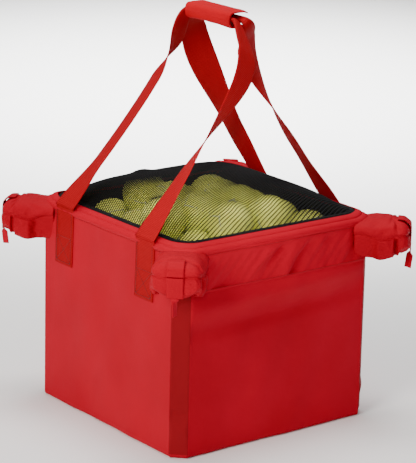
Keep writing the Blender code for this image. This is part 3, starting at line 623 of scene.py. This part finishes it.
def stretch_net():
    """Heights of the taut dome, eased where a loose ball touches it."""
    line = np.linspace(-net_half, net_half, NET_GRID)
    x, y = np.meshgrid(line, line, indexing="ij")
    dome = (1 - np.abs(x / net_half) ** DOME_POWER) * (1 - np.abs(y / net_half) ** DOME_POWER)
    lowest = zip_level + 0.0014 + DOME_RISE * dome
    reach = BALL_RADIUS + NET_CLEAR
    for centre in ball_centres:
        away = (x - centre.x) ** 2 + (y - centre.y) ** 2
        over = centre.z + np.sqrt(np.clip(reach ** 2 - away, 0, None))
        lowest = np.where(away < reach ** 2, np.maximum(lowest, over), lowest)
    height = lowest.copy()
    for _ in range(NET_ROUNDS):
        mean = (height[:-2, 1:-1] + height[2:, 1:-1] + height[1:-1, :-2] + height[1:-1, 2:]) / 4
        height[1:-1, 1:-1] = np.maximum(lowest[1:-1, 1:-1], mean)
    return line, height


net_line, net_heights = stretch_net()


def net_z(x, y):
    """Height of the net, between the points of its grid."""
    cell = net_line[1] - net_line[0]
    i, j = [np.clip((v + net_half) / cell, 0, NET_GRID - 1.001) for v in (x, y)]
    i0 = i.astype(int)
    j0 = j.astype(int)
    low, high = [net_heights[k, j0] * (1 - j + j0) + net_heights[k, j0 + 1] * (j - j0)
                 for k in (i0, i0 + 1)]
    return low * (1 - i + i0) + high * (i - i0)


def chord_in_border(way, side, offset):
    """Both ends of a thread, where it meets the rounded border."""
    reach = np.linspace(-CHORD_REACH, CHORD_REACH, CHORD_STEPS)
    places = np.abs([way[k] * reach + side[k] * offset for k in (0, 1)])
    radius = ZIP_CORNER + net_half - zip_half
    past = np.maximum(places - (net_half - radius), 0)
    kept = reach[np.hypot(*past) <= radius + 0.0008]
    return (kept[0], kept[-1]) if len(kept) > 3 else None


def thread_family(turn, pitch, width, ply, sides, start):
    """All threads that run one way across the net, deeper at the back and right edges as painted
    shade.
    """
    way = np.array([math.cos(turn), math.sin(turn), 0])
    side = np.array([-math.sin(turn), math.cos(turn), 0])
    points = []
    faces = []
    spread = int(NET_SPREAD / pitch)
    for number in range(-spread, spread + 1):
        ends = chord_in_border(way, side, number * pitch)
        if ends is None:
            continue
        steps = max(int((ends[1] - ends[0]) / THREAD_STEP), 2)
        middle = np.linspace(*ends, steps + 1)[:, None] * way + side * number * pitch
        x, y = middle[:, 0], middle[:, 1]
        middle[:, 2] = net_z(x, y)
        # Painted shade: the threads grow deeper towards the back and right edges.
        near = 1 - (net_half - np.maximum(x, y)) / NET_SHADE_THICKENING_REACH
        depth = ply * (1 + NET_SHADE_THICKENING * np.clip(near, 0, 1))
        strand = []
        for a in 2 * math.pi * (np.arange(sides) + 0.5) / sides:
            rise = np.column_stack((0 * x, 0 * x, math.sin(a) * depth / 2))
            strand.append(middle + side * math.cos(a) * width / 2 + rise)
        faces += tube_faces(steps + 1, sides, start + len(points))
        points += list(np.stack(strand, axis=1).reshape(-1, 3))
    return points, faces


# Matt knitted yarn, whose loose fibres catch a little light on its crowns.
BLACK_NET = new_finish("warp_knitted_polyester", "#0E0E10", 0.75, Specular_IOR_Level=0.2)
fine_grain(BLACK_NET, YARN_FUZZ, 0.4, 0.0002)
thread_points = []
thread_faces = []
for family in NET_FAMILIES:
    points, faces = thread_family(*family, len(thread_points))
    thread_points += points
    thread_faces += faces
dress(cut_piece("lid_netting", thread_points, thread_faces, BLACK_NET), "lid", "black_net",
      "lid_net")
lid_tape = tape_profile(border_outer - 0.0002, net_half - 0.0010, zip_level, BORDER_PLY)
dress(sweep("lid_border_tape", lid_tape, BLACK_TAPE, BORDER_WAVE, 1.3), "lid", "black_tape",
      "lid_border")
coil_half("lid_zip_coil", zip_half - 0.0012, 1, "lid", "zip_coil_lid")
hinge_band("hinge_fold_lid", "lid", "lid_hinge_tape")

# Balls: rubber cores under napped wool felt, dyed optic yellow, cut as two figure-eight panels
# whose joint is a pale rubber line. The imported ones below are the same, with less detail.
SEAM_WIDTH = 0.0024
SEAM_STEPS = 110
SEAM_WAVES = (2.2, 0.9)  # their ratio gives the curve of the joint
FIBRE = 0.0022
WORN_PATCH = 1 / 45
PITCH = 0.070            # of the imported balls
TIERS = 6
chance = np.random.default_rng(31)


def napped_felt(name, code, worn_code):
    """Wool felt: very matt, hairy, with darker and lighter tufts."""
    finish = new_finish(name, code, 0.95, Specular_IOR_Level=0.15, Sheen_Weight=0.5,
                        Sheen_Tint=hex_colour("#F0F480"))
    where = add(finish, "TexCoord", "Object")
    tufts = add(finish, "TexNoise", "Fac", {"Scale": 1 / FIBRE, "Detail": 4}, {"Vector": where})
    patches = add(finish, "TexNoise", "Fac", {"Scale": 1 / WORN_PATCH, "Detail": 3},
                  {"Vector": where})
    both = add(finish, "Math", 0, {"operation": "MULTIPLY"}, {0: tufts, 1: patches})
    fresh = add(finish, "MapRange", "Result", {"From Min": 0.12, "From Max": 0.42},
                {"Value": both})
    tone = add(finish, "Mix", 2, {"data_type": "RGBA", 6: hex_colour(worn_code),
                                  7: hex_colour(code)}, {0: fresh})
    join(finish, Base_Color=tone,
         Normal=add(finish, "Bump", "Normal", {"Strength": 0.7, "Distance": 0.0006},
                    {"Height": tufts}))
    return finish


FELT = napped_felt("napped_wool_felt", "#F2F480", "#DCDE5C")
RUBBER_SEAM = new_finish("moulded_rubber_seam", "#C4C896", 0.7)


def round_shell(rings):
    """Even ball mesh: its points on a unit sphere, and its faces."""
    shape = bmesh.new()
    bmesh.ops.create_icosphere(shape, subdivisions=rings, radius=1.0)
    shape.verts.ensure_lookup_table()
    points = np.array([v.co for v in shape.verts])
    faces = [[v.index for v in face.verts] for face in shape.faces]
    shape.free()
    return points, faces


def seam_band(turned):
    """Closed ribbon along a ball's seam curve, on a unit sphere."""
    t = np.linspace(0, 2 * math.pi, SEAM_STEPS, endpoint=False)
    wide, fine = SEAM_WAVES
    curve = unit(np.column_stack((wide * np.cos(t) + fine * np.cos(3 * t),
                                  wide * np.sin(t) - fine * np.sin(3 * t),
                                  2 * math.sqrt(wide * fine) * np.cos(2 * t)))) @ turned
    along = np.roll(curve, -1, axis=0) - np.roll(curve, 1, axis=0)
    side = unit(np.cross(curve, along)) * SEAM_WIDTH / 2 / BALL_RADIUS
    lanes = [curve * level + side * place
             for level, place in ((0.994, -1), (1.004, -0.7), (1.004, 0.7), (0.994, 1))]
    return np.stack(lanes, axis=1).reshape(-1, 3)


def make_balls(name, centres, rings, seams, node):
    """Felt balls as one piece, with the seam in rubber where it can be seen."""
    shell, shell_faces = round_shell(rings)
    points = []
    faces = []
    rubber = []
    count = 0
    for centre in centres:
        turned = np.array(Quaternion(chance.normal(size=4)).normalized().to_matrix())
        points.append(shell @ turned * BALL_RADIUS + np.array(centre))
        faces += [[k + count for k in face] for face in shell_faces]
        count += len(shell)
        if seams:
            points.append(seam_band(turned) * BALL_RADIUS + np.array(centre))
            band = grid_faces(SEAM_STEPS, 4, closed_rows=True, closed_columns=True, start=count)
            rubber += range(len(faces), len(faces) + len(band))
            faces += band
            count += SEAM_STEPS * 4
    piece = cut_piece(name, np.vstack(points), faces, FELT)
    piece.data.materials.append(RUBBER_SEAM)
    for k in rubber:
        piece.data.polygons[k].material_index = 1
    dress(piece, "root", "tennis_felt", node)


for name, centre in zip(ball_names, ball_centres):
    make_balls(f"felt_{name}", [centre], 5, True, name)
pile_low, pile_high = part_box("ball_pile")
tier_heights = np.linspace(pile_low.z + BALL_RADIUS, pile_high.z - BALL_RADIUS, TIERS)
packed = []
for tier, height in enumerate(tier_heights):
    places = (np.arange(4 + tier % 2) - (3 + tier % 2) / 2) * PITCH
    packed.append([(x, y, height) for x in places for y in places])
make_balls("packed_balls_lower", sum(packed[:-1], []), 2, False, "ball_pile")
make_balls("packed_balls_upper", packed[-1], 4, True, "ball_pile")

# Handles: two lengths of 44 mm polypropylene webbing, ribbed along their run. Each is sewn flat
# to its face of the bag, leaves it at the rim, twists on its way up and folds into the grip.
RIB_PITCH = 0.0022       # wider than real ribs, which are too fine to show
PICK_PITCH = RIB_PITCH * 0.8
WEBBING = 0.044
WEBBING_PLY = 0.0016
PIVOT = (0.1805, 0, 0.3078)
GRIP_X = 0.010
GRIP_Z = 0.593
GRIP_SPREAD = 0.0072
GRIP_HALF = 0.05
GRIP_STEPS = 21
BUNDLE_HALF = 0.0545
BUNDLE_WIDTH = 0.012
BUNDLE_PLY = 0.006
FOLD_START = 0.84
BEND_START = 0.88
LEG_STEPS = 90
BEND_STEPS = 14
STRAIGHT_STEPS = 6       # first stations of a leg, which leave the bag square
EDGE_LANES = 13
ANCHOR_STEPS = 46
SEAM_INSET = 0.004
BOX_RISE = 0.042         # height of the sewn cross
SEAM_POINTS = 30
BOX_STITCH = (0.0026, 0.0004)  # length and thread
LEGS = {
    # root and end along the bag, bow, late bow, early twist in degrees, start of the late twist
    "left_back": (0.106, 0.062, -0.020, -0.010, 20, 0.66),
    "left_front": (-0.095, -0.062, -0.024, -0.044, 15, 0.15),
    "right_back": (0.098, 0.062, 0.022, 0.017, 8, 0.30),
    "right_front": (-0.070, -0.074, 0.034, 0.026, 12, 0.30)}


def ribbed_webbing(name, code, hollow_shade_code):
    """Flat woven webbing: matt, with ribs across and a finer herringbone along it, and painted
    shade in the hollows between the ribs.
    """
    finish = new_finish(name, code, 0.72, Specular_IOR_Level=0.05,
                        Specular_Tint=hex_colour("#FF8088"))
    ribs = weave(finish, RIB_PITCH, PICK_PITCH)
    # Painted shade: the low parts of the weave take the darker colour.
    tone = add(finish, "Mix", 2, {"data_type": "RGBA", 6: hex_colour(hollow_shade_code),
                                  7: hex_colour(code)}, {0: ribs})
    join(finish, Base_Color=tone,
         Normal=add(finish, "Bump", "Normal", {"Strength": 0.6, "Distance": 0.0007},
                    {"Height": ribs}))
    return finish


# The second colour is painted shade for the hollows between the ribs.
RED_WEBBING = ribbed_webbing("woven_polypropylene_webbing", "#C0141F", "#8E1016")


def mix(first, second, share):
    """The value that lies a share of the way from the first to the second."""
    return first + (second - first) * share


def leg_station(leg, u, reach):
    """Place, height, width, ply and twist of a leg, u = 0 at the rim and 1 at the grip."""
    root, end, bow, late_bow, early, late = leg
    swell = bow * math.sin(math.pi * u) + late_bow * math.sin(math.pi * u ** 3)
    fold = float(step(u, FOLD_START, 1))
    twist = early * float(step(u, 0, 0.25)) + (90 - early) * float(step(u, late, 1))
    return (mix(root, end, u) + swell, reach * u, mix(WEBBING, BUNDLE_WIDTH, fold),
            mix(WEBBING_PLY, BUNDLE_PLY, fold), twist)


def leg_stations(leg, reach):
    """A leg from the rim up, with its last part bent into the line of the grip."""
    stations = [leg_station(leg, BEND_START * i / LEG_STEPS, reach) for i in range(LEG_STEPS + 1)]
    y0, reach0 = stations[-1][:2]
    y1 = leg[1]
    y2 = math.copysign(BUNDLE_HALF, y1)
    for i in range(1, BEND_STEPS + 1):
        t = i / BEND_STEPS
        y = (1 - t) ** 2 * y0 + 2 * t * (1 - t) * y1 + t ** 2 * y2
        height = mix(reach, reach0, (1 - t) ** 2)
        stations.append((y, height, *leg_station(leg, mix(BEND_START, 1, t), reach)[2:]))
    return stations


def strip_along(name, stations, finish):
    """Webbing from stations of (middle, wide unit, thin unit, width, ply), a little fuller
    along its middle, with thin round edges."""
    across = np.linspace(-1, 1, EDGE_LANES)
    round_edge = (1 - 0.65 * np.abs(across) ** 8) * (1 - 0.12 * np.cos(3 * math.pi * across))
    points = []
    lay = []
    run = run_along([station[0] for station in stations])
    for (middle, wide, thin, width, ply), at in zip(stations, run):
        top = list(zip(across * width / 2, ply / 2 * round_edge))
        for a, t in top + [(a, -t) for a, t in reversed(top)]:
            points.append(middle + wide * a + thin * t)
            lay.append((at, a))
    return cut_piece(name, points, tube_faces(len(stations), 2 * EDGE_LANES), finish, lay)


def make_handle(side):
    """One loop of webbing: up the back leg, through the grip and down the front leg."""
    sign = -1 if side == "left" else 1
    pivot = Vector((sign * PIVOT[0], *PIVOT[1:]))
    arm = Vector((GRIP_X + sign * GRIP_SPREAD, 0, GRIP_Z)) - pivot
    lean = arm.normalized()
    flat = Vector((0, 1, 0))
    facing = Vector((math.copysign(lean.z, arm.x), 0, -abs(lean.x)))
    back_leg = leg_stations(LEGS[f"{side}_back"], arm.length)
    front_leg = leg_stations(LEGS[f"{side}_front"], arm.length)
    if side == "left":
        front_leg = [(*station[:4], 180 - station[4]) for station in front_leg]
    grip = [(y, arm.length, BUNDLE_WIDTH, BUNDLE_PLY, 90)
            for y in np.linspace(GRIP_HALF, -GRIP_HALF, GRIP_STEPS)]
    plan = back_leg + grip + front_leg[::-1]
    stations = []
    for k, (y, reach, width, ply, twist) in enumerate(plan):
        before = plan[max(k - 1, 0)]
        after = plan[min(k + 1, len(plan) - 1)]
        run = (flat * (after[0] - before[0]) + lean * (after[1] - before[1])).normalized()
        square = min(k, len(plan) - 1 - k) / STRAIGHT_STEPS
        if square < 1:
            straight = lean if k < len(plan) / 2 else -lean
            run = (straight * (1 - square) + run * square).normalized()
        outward = flat * run.dot(lean) - lean * run.dot(flat)
        t = math.radians(twist)
        wide = outward * math.cos(t) + facing * math.sin(t)
        stations.append((pivot + lean * reach + flat * y, wide, run.cross(wide).normalized(),
                         width, ply))
    dress(strip_along(f"webbing_handle_{side}", stations, RED_WEBBING), f"handle_{side}",
          "red_webbing", f"handle_{side}")


def make_anchor(name):
    """Webbing sewn flat to the bag, with rows of stitching along it and a crossed box."""
    low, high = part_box(f"sewn_webbing_{name}")
    side, sign = (3, -1) if name.startswith("left") else (1, 1)
    out = Vector((sign, 0, 0))
    middle_y = (low.y + high.y) / 2
    heights = np.linspace(low.z, high.z, ANCHOR_STEPS)
    swell = face_swell(side, np.full(ANCHOR_STEPS, sign * middle_y), heights)
    seats = bag_half + np.maximum(swell, 0) + WEBBING_PLY * 0.62
    stations = [(Vector((sign * seat, middle_y, z)), Vector((0, 1, 0)), out, WEBBING,
                 WEBBING_PLY * (1.15 if 4 < k < ANCHOR_STEPS - 4 else 0.9))
                for k, (seat, z) in enumerate(zip(seats, heights))]
    dress(strip_along(f"sewn_handle_end_{name}", stations, RED_WEBBING), "root", "red_webbing",
          f"sewn_webbing_{name}")
    y0, y1 = low.y + SEAM_INSET, high.y - SEAM_INSET
    z0, z1, z2 = low.z + SEAM_INSET, low.z + BOX_RISE, high.z - 0.006
    share = np.linspace(0, 1, SEAM_POINTS)
    for number, (ya, za, yb, zb) in enumerate((
            (y0, z0, y0, z2), (y1, z0, y1, z2), (y0, z0, y1, z0), (y0, z1, y1, z1),
            (y0, z0, y1, z1), (y1, z0, y0, z1))):
        z = mix(za, zb, share)
        x = sign * (np.interp(z, heights, seats) + WEBBING_PLY * 0.56)
        stitches(f"box_stitch_{name}_{number}", np.column_stack((x, mix(ya, yb, share), z)),
                 np.tile(out, (SEAM_POINTS, 1)), DARK_THREAD, "red_webbing", *BOX_STITCH)


for side in ("left", "right"):
    make_handle(side)
for name in LEGS:
    make_anchor(name)

# Grip: a foam pad in red cloth, folded round both handles and closed on top, so its open end
# shows two soft layers. Its edges are bound and sewn down, and a hand has pressed it hollow
# underneath.
PAD_PLY = 0.0034
PAD_CELLS = 44
PAD_LANES = 46
GRIP_ARCH = 0.0030
wrap_low, wrap_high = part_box("grip_wrap")
flap_low, flap_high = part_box("grip_flap")
PADDED_CLOTH = coated_polyester("foam_backed_polyester", "#BE0C1D", "#AE0A19", 0.6)


def soften(line, rounds):
    """A line of points with its bends rounded off."""
    for _ in range(rounds):
        line[1:-1] = (line[:-2] + line[1:-1] * 2 + line[2:]) / 4
    return line


def respace(path, count, rounds):
    """Even distances along a path, and the softened points that lie there."""
    run = run_along(path)
    at = np.linspace(0, run[-1], count)
    line = np.column_stack([np.interp(at, run, column) for column in np.array(path).T])
    return at, soften(line, rounds)


def padded_slab(name, path, y_low, y_high, node, body, arch=0.0):
    """Foam slab along a path in the section plane, thinner towards its sewn edges."""
    u, spine = respace(path, PAD_LANES, 3)
    tangent = unit(np.gradient(spine, axis=0))
    normal = np.column_stack((-tangent[:, 1], 0 * u, tangent[:, 0]))
    underneath = 1 - step(u / u[-1], 0.32, 0.60)
    rows = []
    lays = []
    for y in np.linspace(y_low, y_high, PAD_CELLS):
        rim = np.minimum(np.minimum(u, u[-1] - u), min(y - y_low, y_high - y) + 0.0008)
        full = mix(0.42, 1, step(rim, 0, 0.006))
        ripple = 0.06 * np.sin(y / 0.0065 + u / 0.011) + 0.05 * np.sin(y / 0.0043 - u / 0.008)
        half = (PAD_PLY / 2 * full * (1 + ripple))[:, None]
        along = (y - y_low) / (y_high - y_low)
        rise = arch * (1 - (2 * along - 1) ** 2) * underneath
        middle = np.column_stack((spine[:, 0], np.full(len(u), y), spine[:, 1] + rise))
        rows.append(np.vstack((middle + normal * half, (middle - normal * half)[::-1])))
        lays.append(np.column_stack((np.concatenate((u, u[::-1])), np.full(2 * len(u), y))))
    columns = 2 * PAD_LANES
    faces = grid_faces(PAD_CELLS, columns, closed_columns=True)
    for start, order in ((0, 1), ((PAD_CELLS - 1) * columns, -1)):
        for k in range(PAD_LANES - 1):
            quad = [start + k, start + k + 1, start + columns - 2 - k, start + columns - 1 - k]
            faces.append(quad[::order])
    slab = cut_piece(name, np.vstack(rows), faces, PADDED_CLOTH, np.vstack(lays))
    dress(slab, body, "red_padded_wrap", node)


middle_z = (wrap_low.z + wrap_high.z) / 2
wrap_rise = (wrap_high.z - wrap_low.z) / 2 - PAD_PLY / 2
wrap_back = wrap_low.x + PAD_PLY / 2
under = middle_z - wrap_rise
over = middle_z + wrap_rise
wrap_path = [(wrap_high.x, under), (wrap_back + 0.005, under), (wrap_back + 0.001, under + 0.003),
             (wrap_back - 0.0006, middle_z), (wrap_back + 0.001, over - 0.003),
             (wrap_back + 0.005, over), (flap_low.x, over)]
flap_path = [(flap_low.x - 0.0002, over + 0.0002), (flap_high.x - 0.004, over + 0.0002),
             (flap_high.x, over - 0.002)]
padded_slab("padded_grip", wrap_path, wrap_low.y, wrap_high.y, "grip_wrap", "handle_left",
            GRIP_ARCH)
padded_slab("padded_grip_flap", flap_path, flap_low.y, flap_high.y, "grip_flap", "grip_flap")

# Corner sleeves: a padded hood of the same cloth sewn to each upper corner, open below, which
# slips over a post; the hood and its strap are coloured a darker copy of the cloth, as painted
# shade. Each was inflated a little as loose cloth held along its seams, which crumples it. A
# short strap closes its outer end, with a tab to pull it by.
HOOD_WALL_ROWS = 17
HOOD_TOP_ROWS = 11
HOOD_PLY = 0.0016
HOOD_PILLOW = 0.018
HOOD_ROOT = (0.010, 0.023)  # distances out over which a hood leaves the bag
HOOD_END = (0.050, 0.060)   # and over which its side turns into its end
HOOD_CLIMB = (0.022, 0.052)  # and over which its hem climbs
HOOD_ROOT_HEM = 0.250
HOOD_END_HEM = 0.2475
HEM_CLIMB = 0.0075
HEM_CORNER_RISE = 0.012
ROOT_TUCK = 0.0095       # how far the wall is drawn in beside the bag
HEM_CURLS = (0.003, 0.010)  # how far the hem curls under, beside the bag and at the end
CURL_TOP = 0.36          # share of the wall that curls
EAVE_SAG = 0.005
EAVE_SEAM = 0.0026       # depth of the seam just under the eave
SLIT_CLOSES = (0.70, 0.94)  # shares of the wall over which the slit closes
SLIT_DENT = 0.0045       # its dent in the top
SLIT = (0.0434, 0.0490)  # gap between the side of a hood and its end, as distances out
HOOD_PLAN = (
    # distance out, half width, half width without the slit, columns to the next point
    (-0.0160, 0.0352, 0.0352, 6), (0.0060, 0.0366, 0.0366, 9), (0.0300, 0.0372, 0.0372, 7),
    (SLIT[0], 0.0362, 0.0362, 4), (0.0443, 0.0280, 0.0359, 4), (0.0481, 0.0280, 0.0352, 4),
    (SLIT[1], 0.0334, 0.0348, 5), (0.0565, 0.0326, 0.0330, 5), (0.0616, 0.0280, 0.0280, 6),
    (0.0638, 0.0180, 0.0180, 10), (0.0646, 0.0, 0.0, 0))
RIDGE = (-0.016, 0.038)  # ends of the line to which the top of a hood rises
WELD = 0.00005           # points closer than this become one
CLOTH_FRAMES = 20
CLOTH_REACH = 0.0036     # furthest the cloth may move
LOOSE_CLOTH = {
    "quality": 6, "mass": 0.2, "tension_stiffness": 12, "compression_stiffness": 12,
    "shear_stiffness": 4, "bending_stiffness": 0.05, "air_damping": 4,
    "shrink_min": -0.06,  # how much longer the loose cloth is than its place
    "use_pressure": True, "uniform_pressure_force": 1.2, "vertex_group_mass": "held"}
STRAP_OUT = 0.0654       # distance out of the strap's face
STRAP_WIDTH = 0.024
STRAP_STEPS = 34
TAB_WIDTH = 0.011
TAB_TURN = 1.1
hood_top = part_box("sleeve_front_left")[1].z
band_reach = bag_half - (bag_half - face_half) / 2
# A darker copy of the cloth for the hoods and their straps: painted shade.
RED_SLEEVE_PAINTED_SHADE = coated_polyester("coated_woven_polyester_painted_shade", "#A80A20", "#9C0A1D")


def corner_frame(corner):
    """Middle of the corner band, the way out from it, and the way across it."""
    sx, sy = CORNERS[corner]
    return (np.array([sx, sy, 0]) * band_reach, np.array([sx, sy, 0]) * math.sqrt(0.5),
            np.array([-sy, sx, 0]) * math.sqrt(0.5))


def hood_outline(column, rounds):
    """Plan of the hood as (out, across): column 1 with its slits, column 2 without them."""
    half = [(mix(here[0], after[0], k / here[3]), mix(here[column], after[column], k / here[3]))
            for here, after in zip(HOOD_PLAN[:-1], HOOD_PLAN[1:]) for k in range(here[3])]
    half = np.array(half + [(HOOD_PLAN[-1][0], 0.0)])
    return soften(np.vstack((half, half[-2::-1] * np.array([1, -1]))), rounds)


def hood_sheet(seed):
    """Cloth of a hood before it is inflated: points (out, across, height), lay and faces."""
    slit_plan = hood_outline(1, 2)
    plain = hood_outline(2, 5)
    u, v = plain.T
    run = run_along(plain)
    normal = unit(np.column_stack((-np.gradient(v), np.gradient(u))))
    normal *= np.sign((normal * (plain - np.array([0.02, 0]))).sum(axis=1)).mean()
    at_end = step(u, *HOOD_END)
    near_bag = 1 - step(u, *HOOD_ROOT)
    rounding = np.clip(np.abs(v) / 0.034, 0, 1) ** 2.5
    hem = mix(HOOD_ROOT_HEM, HOOD_END_HEM + HEM_CORNER_RISE * rounding, at_end)
    hem = hem + HEM_CLIMB * step(u, *HOOD_CLIMB)
    eave = hood_top - HOOD_PILLOW - EAVE_SAG * np.sin(math.pi * np.clip(u / SLIT[0], 0, 1))
    eave = eave - 0.0008 * np.sin(run / 0.009 + seed)
    rows = []
    lays = []
    for k in range(HOOD_WALL_ROWS):
        t = k / (HOOD_WALL_ROWS - 1)
        under = max(0, 1 - t / CURL_TOP) ** 2
        shift = 0.0016 * math.sin(math.pi * t) + 0.0009 * np.sin(run / 0.013 + 4 * t + seed)
        shift = shift - under * mix(*HEM_CURLS, at_end) - ROOT_TUCK * near_bag * (1 - t ** 6)
        if k == HOOD_WALL_ROWS - 2:
            shift = shift - EAVE_SEAM
        ring = mix(slit_plan, plain, step(t, *SLIT_CLOSES)) + normal * shift[:, None]
        height = mix(hem, eave, t)
        rows.append(np.column_stack((ring, height)))
        lays.append(np.column_stack((run, height)))
    ridge = np.column_stack((np.clip(u, *RIDGE), 0 * u))
    for a in np.linspace(0, math.pi / 2, HOOD_TOP_ROWS)[1:]:
        ring = mix(ridge, plain + normal * 0.0008, math.cos(a) ** 0.8)
        z = mix(eave, hood_top, math.sin(a) ** 0.9)
        z = z - SLIT_DENT * hump(u, SLIT[1], 0.004) * math.sin(2 * a)
        rows.append(np.column_stack((ring, z)))
        lays.append(np.column_stack((run, hood_top + a * 0.02 + 0 * run)))
    return np.vstack(rows), np.vstack(lays), grid_faces(len(rows), len(run))


def inflate(piece, held):
    """Let a piece settle as loose cloth under pressure, with each point's movement capped."""
    pins = piece.vertex_groups.new(name="held")
    for index, weight in enumerate(held):
        pins.add([index], float(weight), "REPLACE")
    cloth = piece.modifiers.new("cloth", "CLOTH")
    for key, value in LOOSE_CLOTH.items():
        setattr(cloth.settings, key, value)
    cloth.settings.effector_weights.gravity = 0
    cloth.collision_settings.use_collision = False
    cloth.point_cache.frame_start = 1
    cloth.point_cache.frame_end = CLOTH_FRAMES
    for frame_number in range(1, CLOTH_FRAMES + 1):
        bpy.context.scene.frame_set(frame_number)
    settled = piece.evaluated_get(bpy.context.evaluated_depsgraph_get())
    before, after = np.empty((2, len(piece.data.vertices) * 3))
    piece.data.vertices.foreach_get("co", before)
    settled.to_mesh().vertices.foreach_get("co", after)
    settled.to_mesh_clear()
    move = (after - before).reshape(-1, 3)
    size = np.maximum(np.linalg.norm(move, axis=1, keepdims=True), 1e-9)
    move *= CLOTH_REACH * np.tanh(size / CLOTH_REACH) / size
    piece.modifiers.remove(cloth)
    piece.vertex_groups.remove(pins)
    piece.data.vertices.foreach_set("co", before + move.ravel())
    piece.data.update()
    bpy.context.scene.frame_set(1)


def make_hood(corner, seed):
    """One hood, held along its seams, the crease under its top, its slits, strap and hem."""
    base, out, across = corner_frame(corner)
    sheet, lays, faces = hood_sheet(seed)
    spot = base + sheet[:, :1] * out + sheet[:, 1:2] * across + sheet * np.array([0, 0, 1])
    hood = cut_piece(f"hood_{corner}", spot, faces, RED_SLEEVE_PAINTED_SHADE, lays)
    shape = bmesh.new()
    shape.from_mesh(hood.data)
    bmesh.ops.remove_doubles(shape, verts=shape.verts, dist=WELD)
    bmesh.ops.recalc_face_normals(shape, faces=shape.faces)
    shape.to_mesh(hood.data)
    shape.free()
    points = np.array([v.co for v in hood.data.vertices]) - base
    u = points @ out
    v = points @ across
    z = points[:, 2]
    seam = 1 - step(u, 0.002, 0.006)
    crease = hump(z, hood_top - HOOD_PILLOW - 0.004, 0.003)
    slit = step(u, SLIT[0] - 0.001, SLIT[0]) * (1 - step(u, SLIT[1], SLIT[1] + 0.001))
    strap = step(u, 0.040, 0.046) * (1 - step(np.abs(v), 0.013, 0.016))
    hem = 1 - step(z, z.min() + 0.004, z.min() + 0.012)
    inflate(hood, np.maximum.reduce([seam, 0.7 * crease, slit * (z < hood_top - 0.010),
                                     0.9 * strap, hem]))
    finer = hood.modifiers.new("finer", "SUBSURF")
    finer.levels = 1
    finer.render_levels = 1
    thick = hood.modifiers.new("ply", "SOLIDIFY")
    thick.thickness = HOOD_PLY
    thick.offset = -1
    dress(hood, "root", "red_polyester", f"sleeve_{corner}")


def corner_strip(name, corner, track, width, body, node, finish, turn=0.0):
    """Narrow strip over a hood, along a track of (out, height) points, turned by its end."""
    base, out, across = [Vector(part) for part in corner_frame(corner)]
    at, line = respace(track, STRAP_STEPS, 4)
    stations = []
    for k, ((u, z), (du, dz)) in enumerate(zip(line, unit(np.gradient(line, axis=0)))):
        thin = out * -dz + Vector((0, 0, du))
        middle = base + out * u + Vector((0, 0, z)) + thin * WEBBING_PLY / 2
        a = turn * float(step(k / (STRAP_STEPS - 1), 0.0, 0.3))
        stations.append((middle, across * math.cos(a) - thin * math.sin(a),
                         thin * math.cos(a) + across * math.sin(a), width, WEBBING_PLY))
    dress(strip_along(name, stations, finish), body, "red_webbing", node)


for number, corner in enumerate(CORNERS):
    make_hood(corner, 1.0 + number)
    root, strap, tab = [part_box(f"{node}_{corner}")
                        for node in ("strap_root", "closure_strap", "pull_tab")]
    over_hood = [(0.046, root[1].z - 0.0016), (STRAP_OUT - 0.010, root[1].z - 0.0022),
                 (STRAP_OUT - 0.001, 0.299), (STRAP_OUT, root[0].z)]
    corner_strip(f"strap_over_hood_{corner}", corner, over_hood, STRAP_WIDTH, "root",
                 f"strap_root_{corner}", RED_SLEEVE_PAINTED_SHADE)
    corner_strip(f"closing_strap_{corner}", corner,
                 [(STRAP_OUT, strap[1].z), (STRAP_OUT, strap[0].z)], STRAP_WIDTH,
                 f"closure_{corner}", f"closure_strap_{corner}", RED_SLEEVE_PAINTED_SHADE)
    corner_strip(f"hanging_tab_{corner}", corner,
                 [(STRAP_OUT, tab[1].z), (STRAP_OUT - 0.003, tab[0].z)], TAB_WIDTH,
                 f"closure_{corner}", f"pull_tab_{corner}", RED_CLOTH, TAB_TURN)

# Zip slider and its pull: die-cast zinc, painted red to match. The cast shape comes from the
# frame; the paint is glossy, a little dimpled where it is thick.
PAINT_DIMPLE = 1 / 900
PAINTED_ZINC = new_finish("painted_zinc_casting", "#8E1A20", 0.35, Metallic=0.3, Coat_Weight=0.3)
fine_grain(PAINTED_ZINC, PAINT_DIMPLE, 0.2, 0.0001)
for name in ("zip_slider", "zip_pull"):
    coat_solid(name, PAINTED_ZINC)
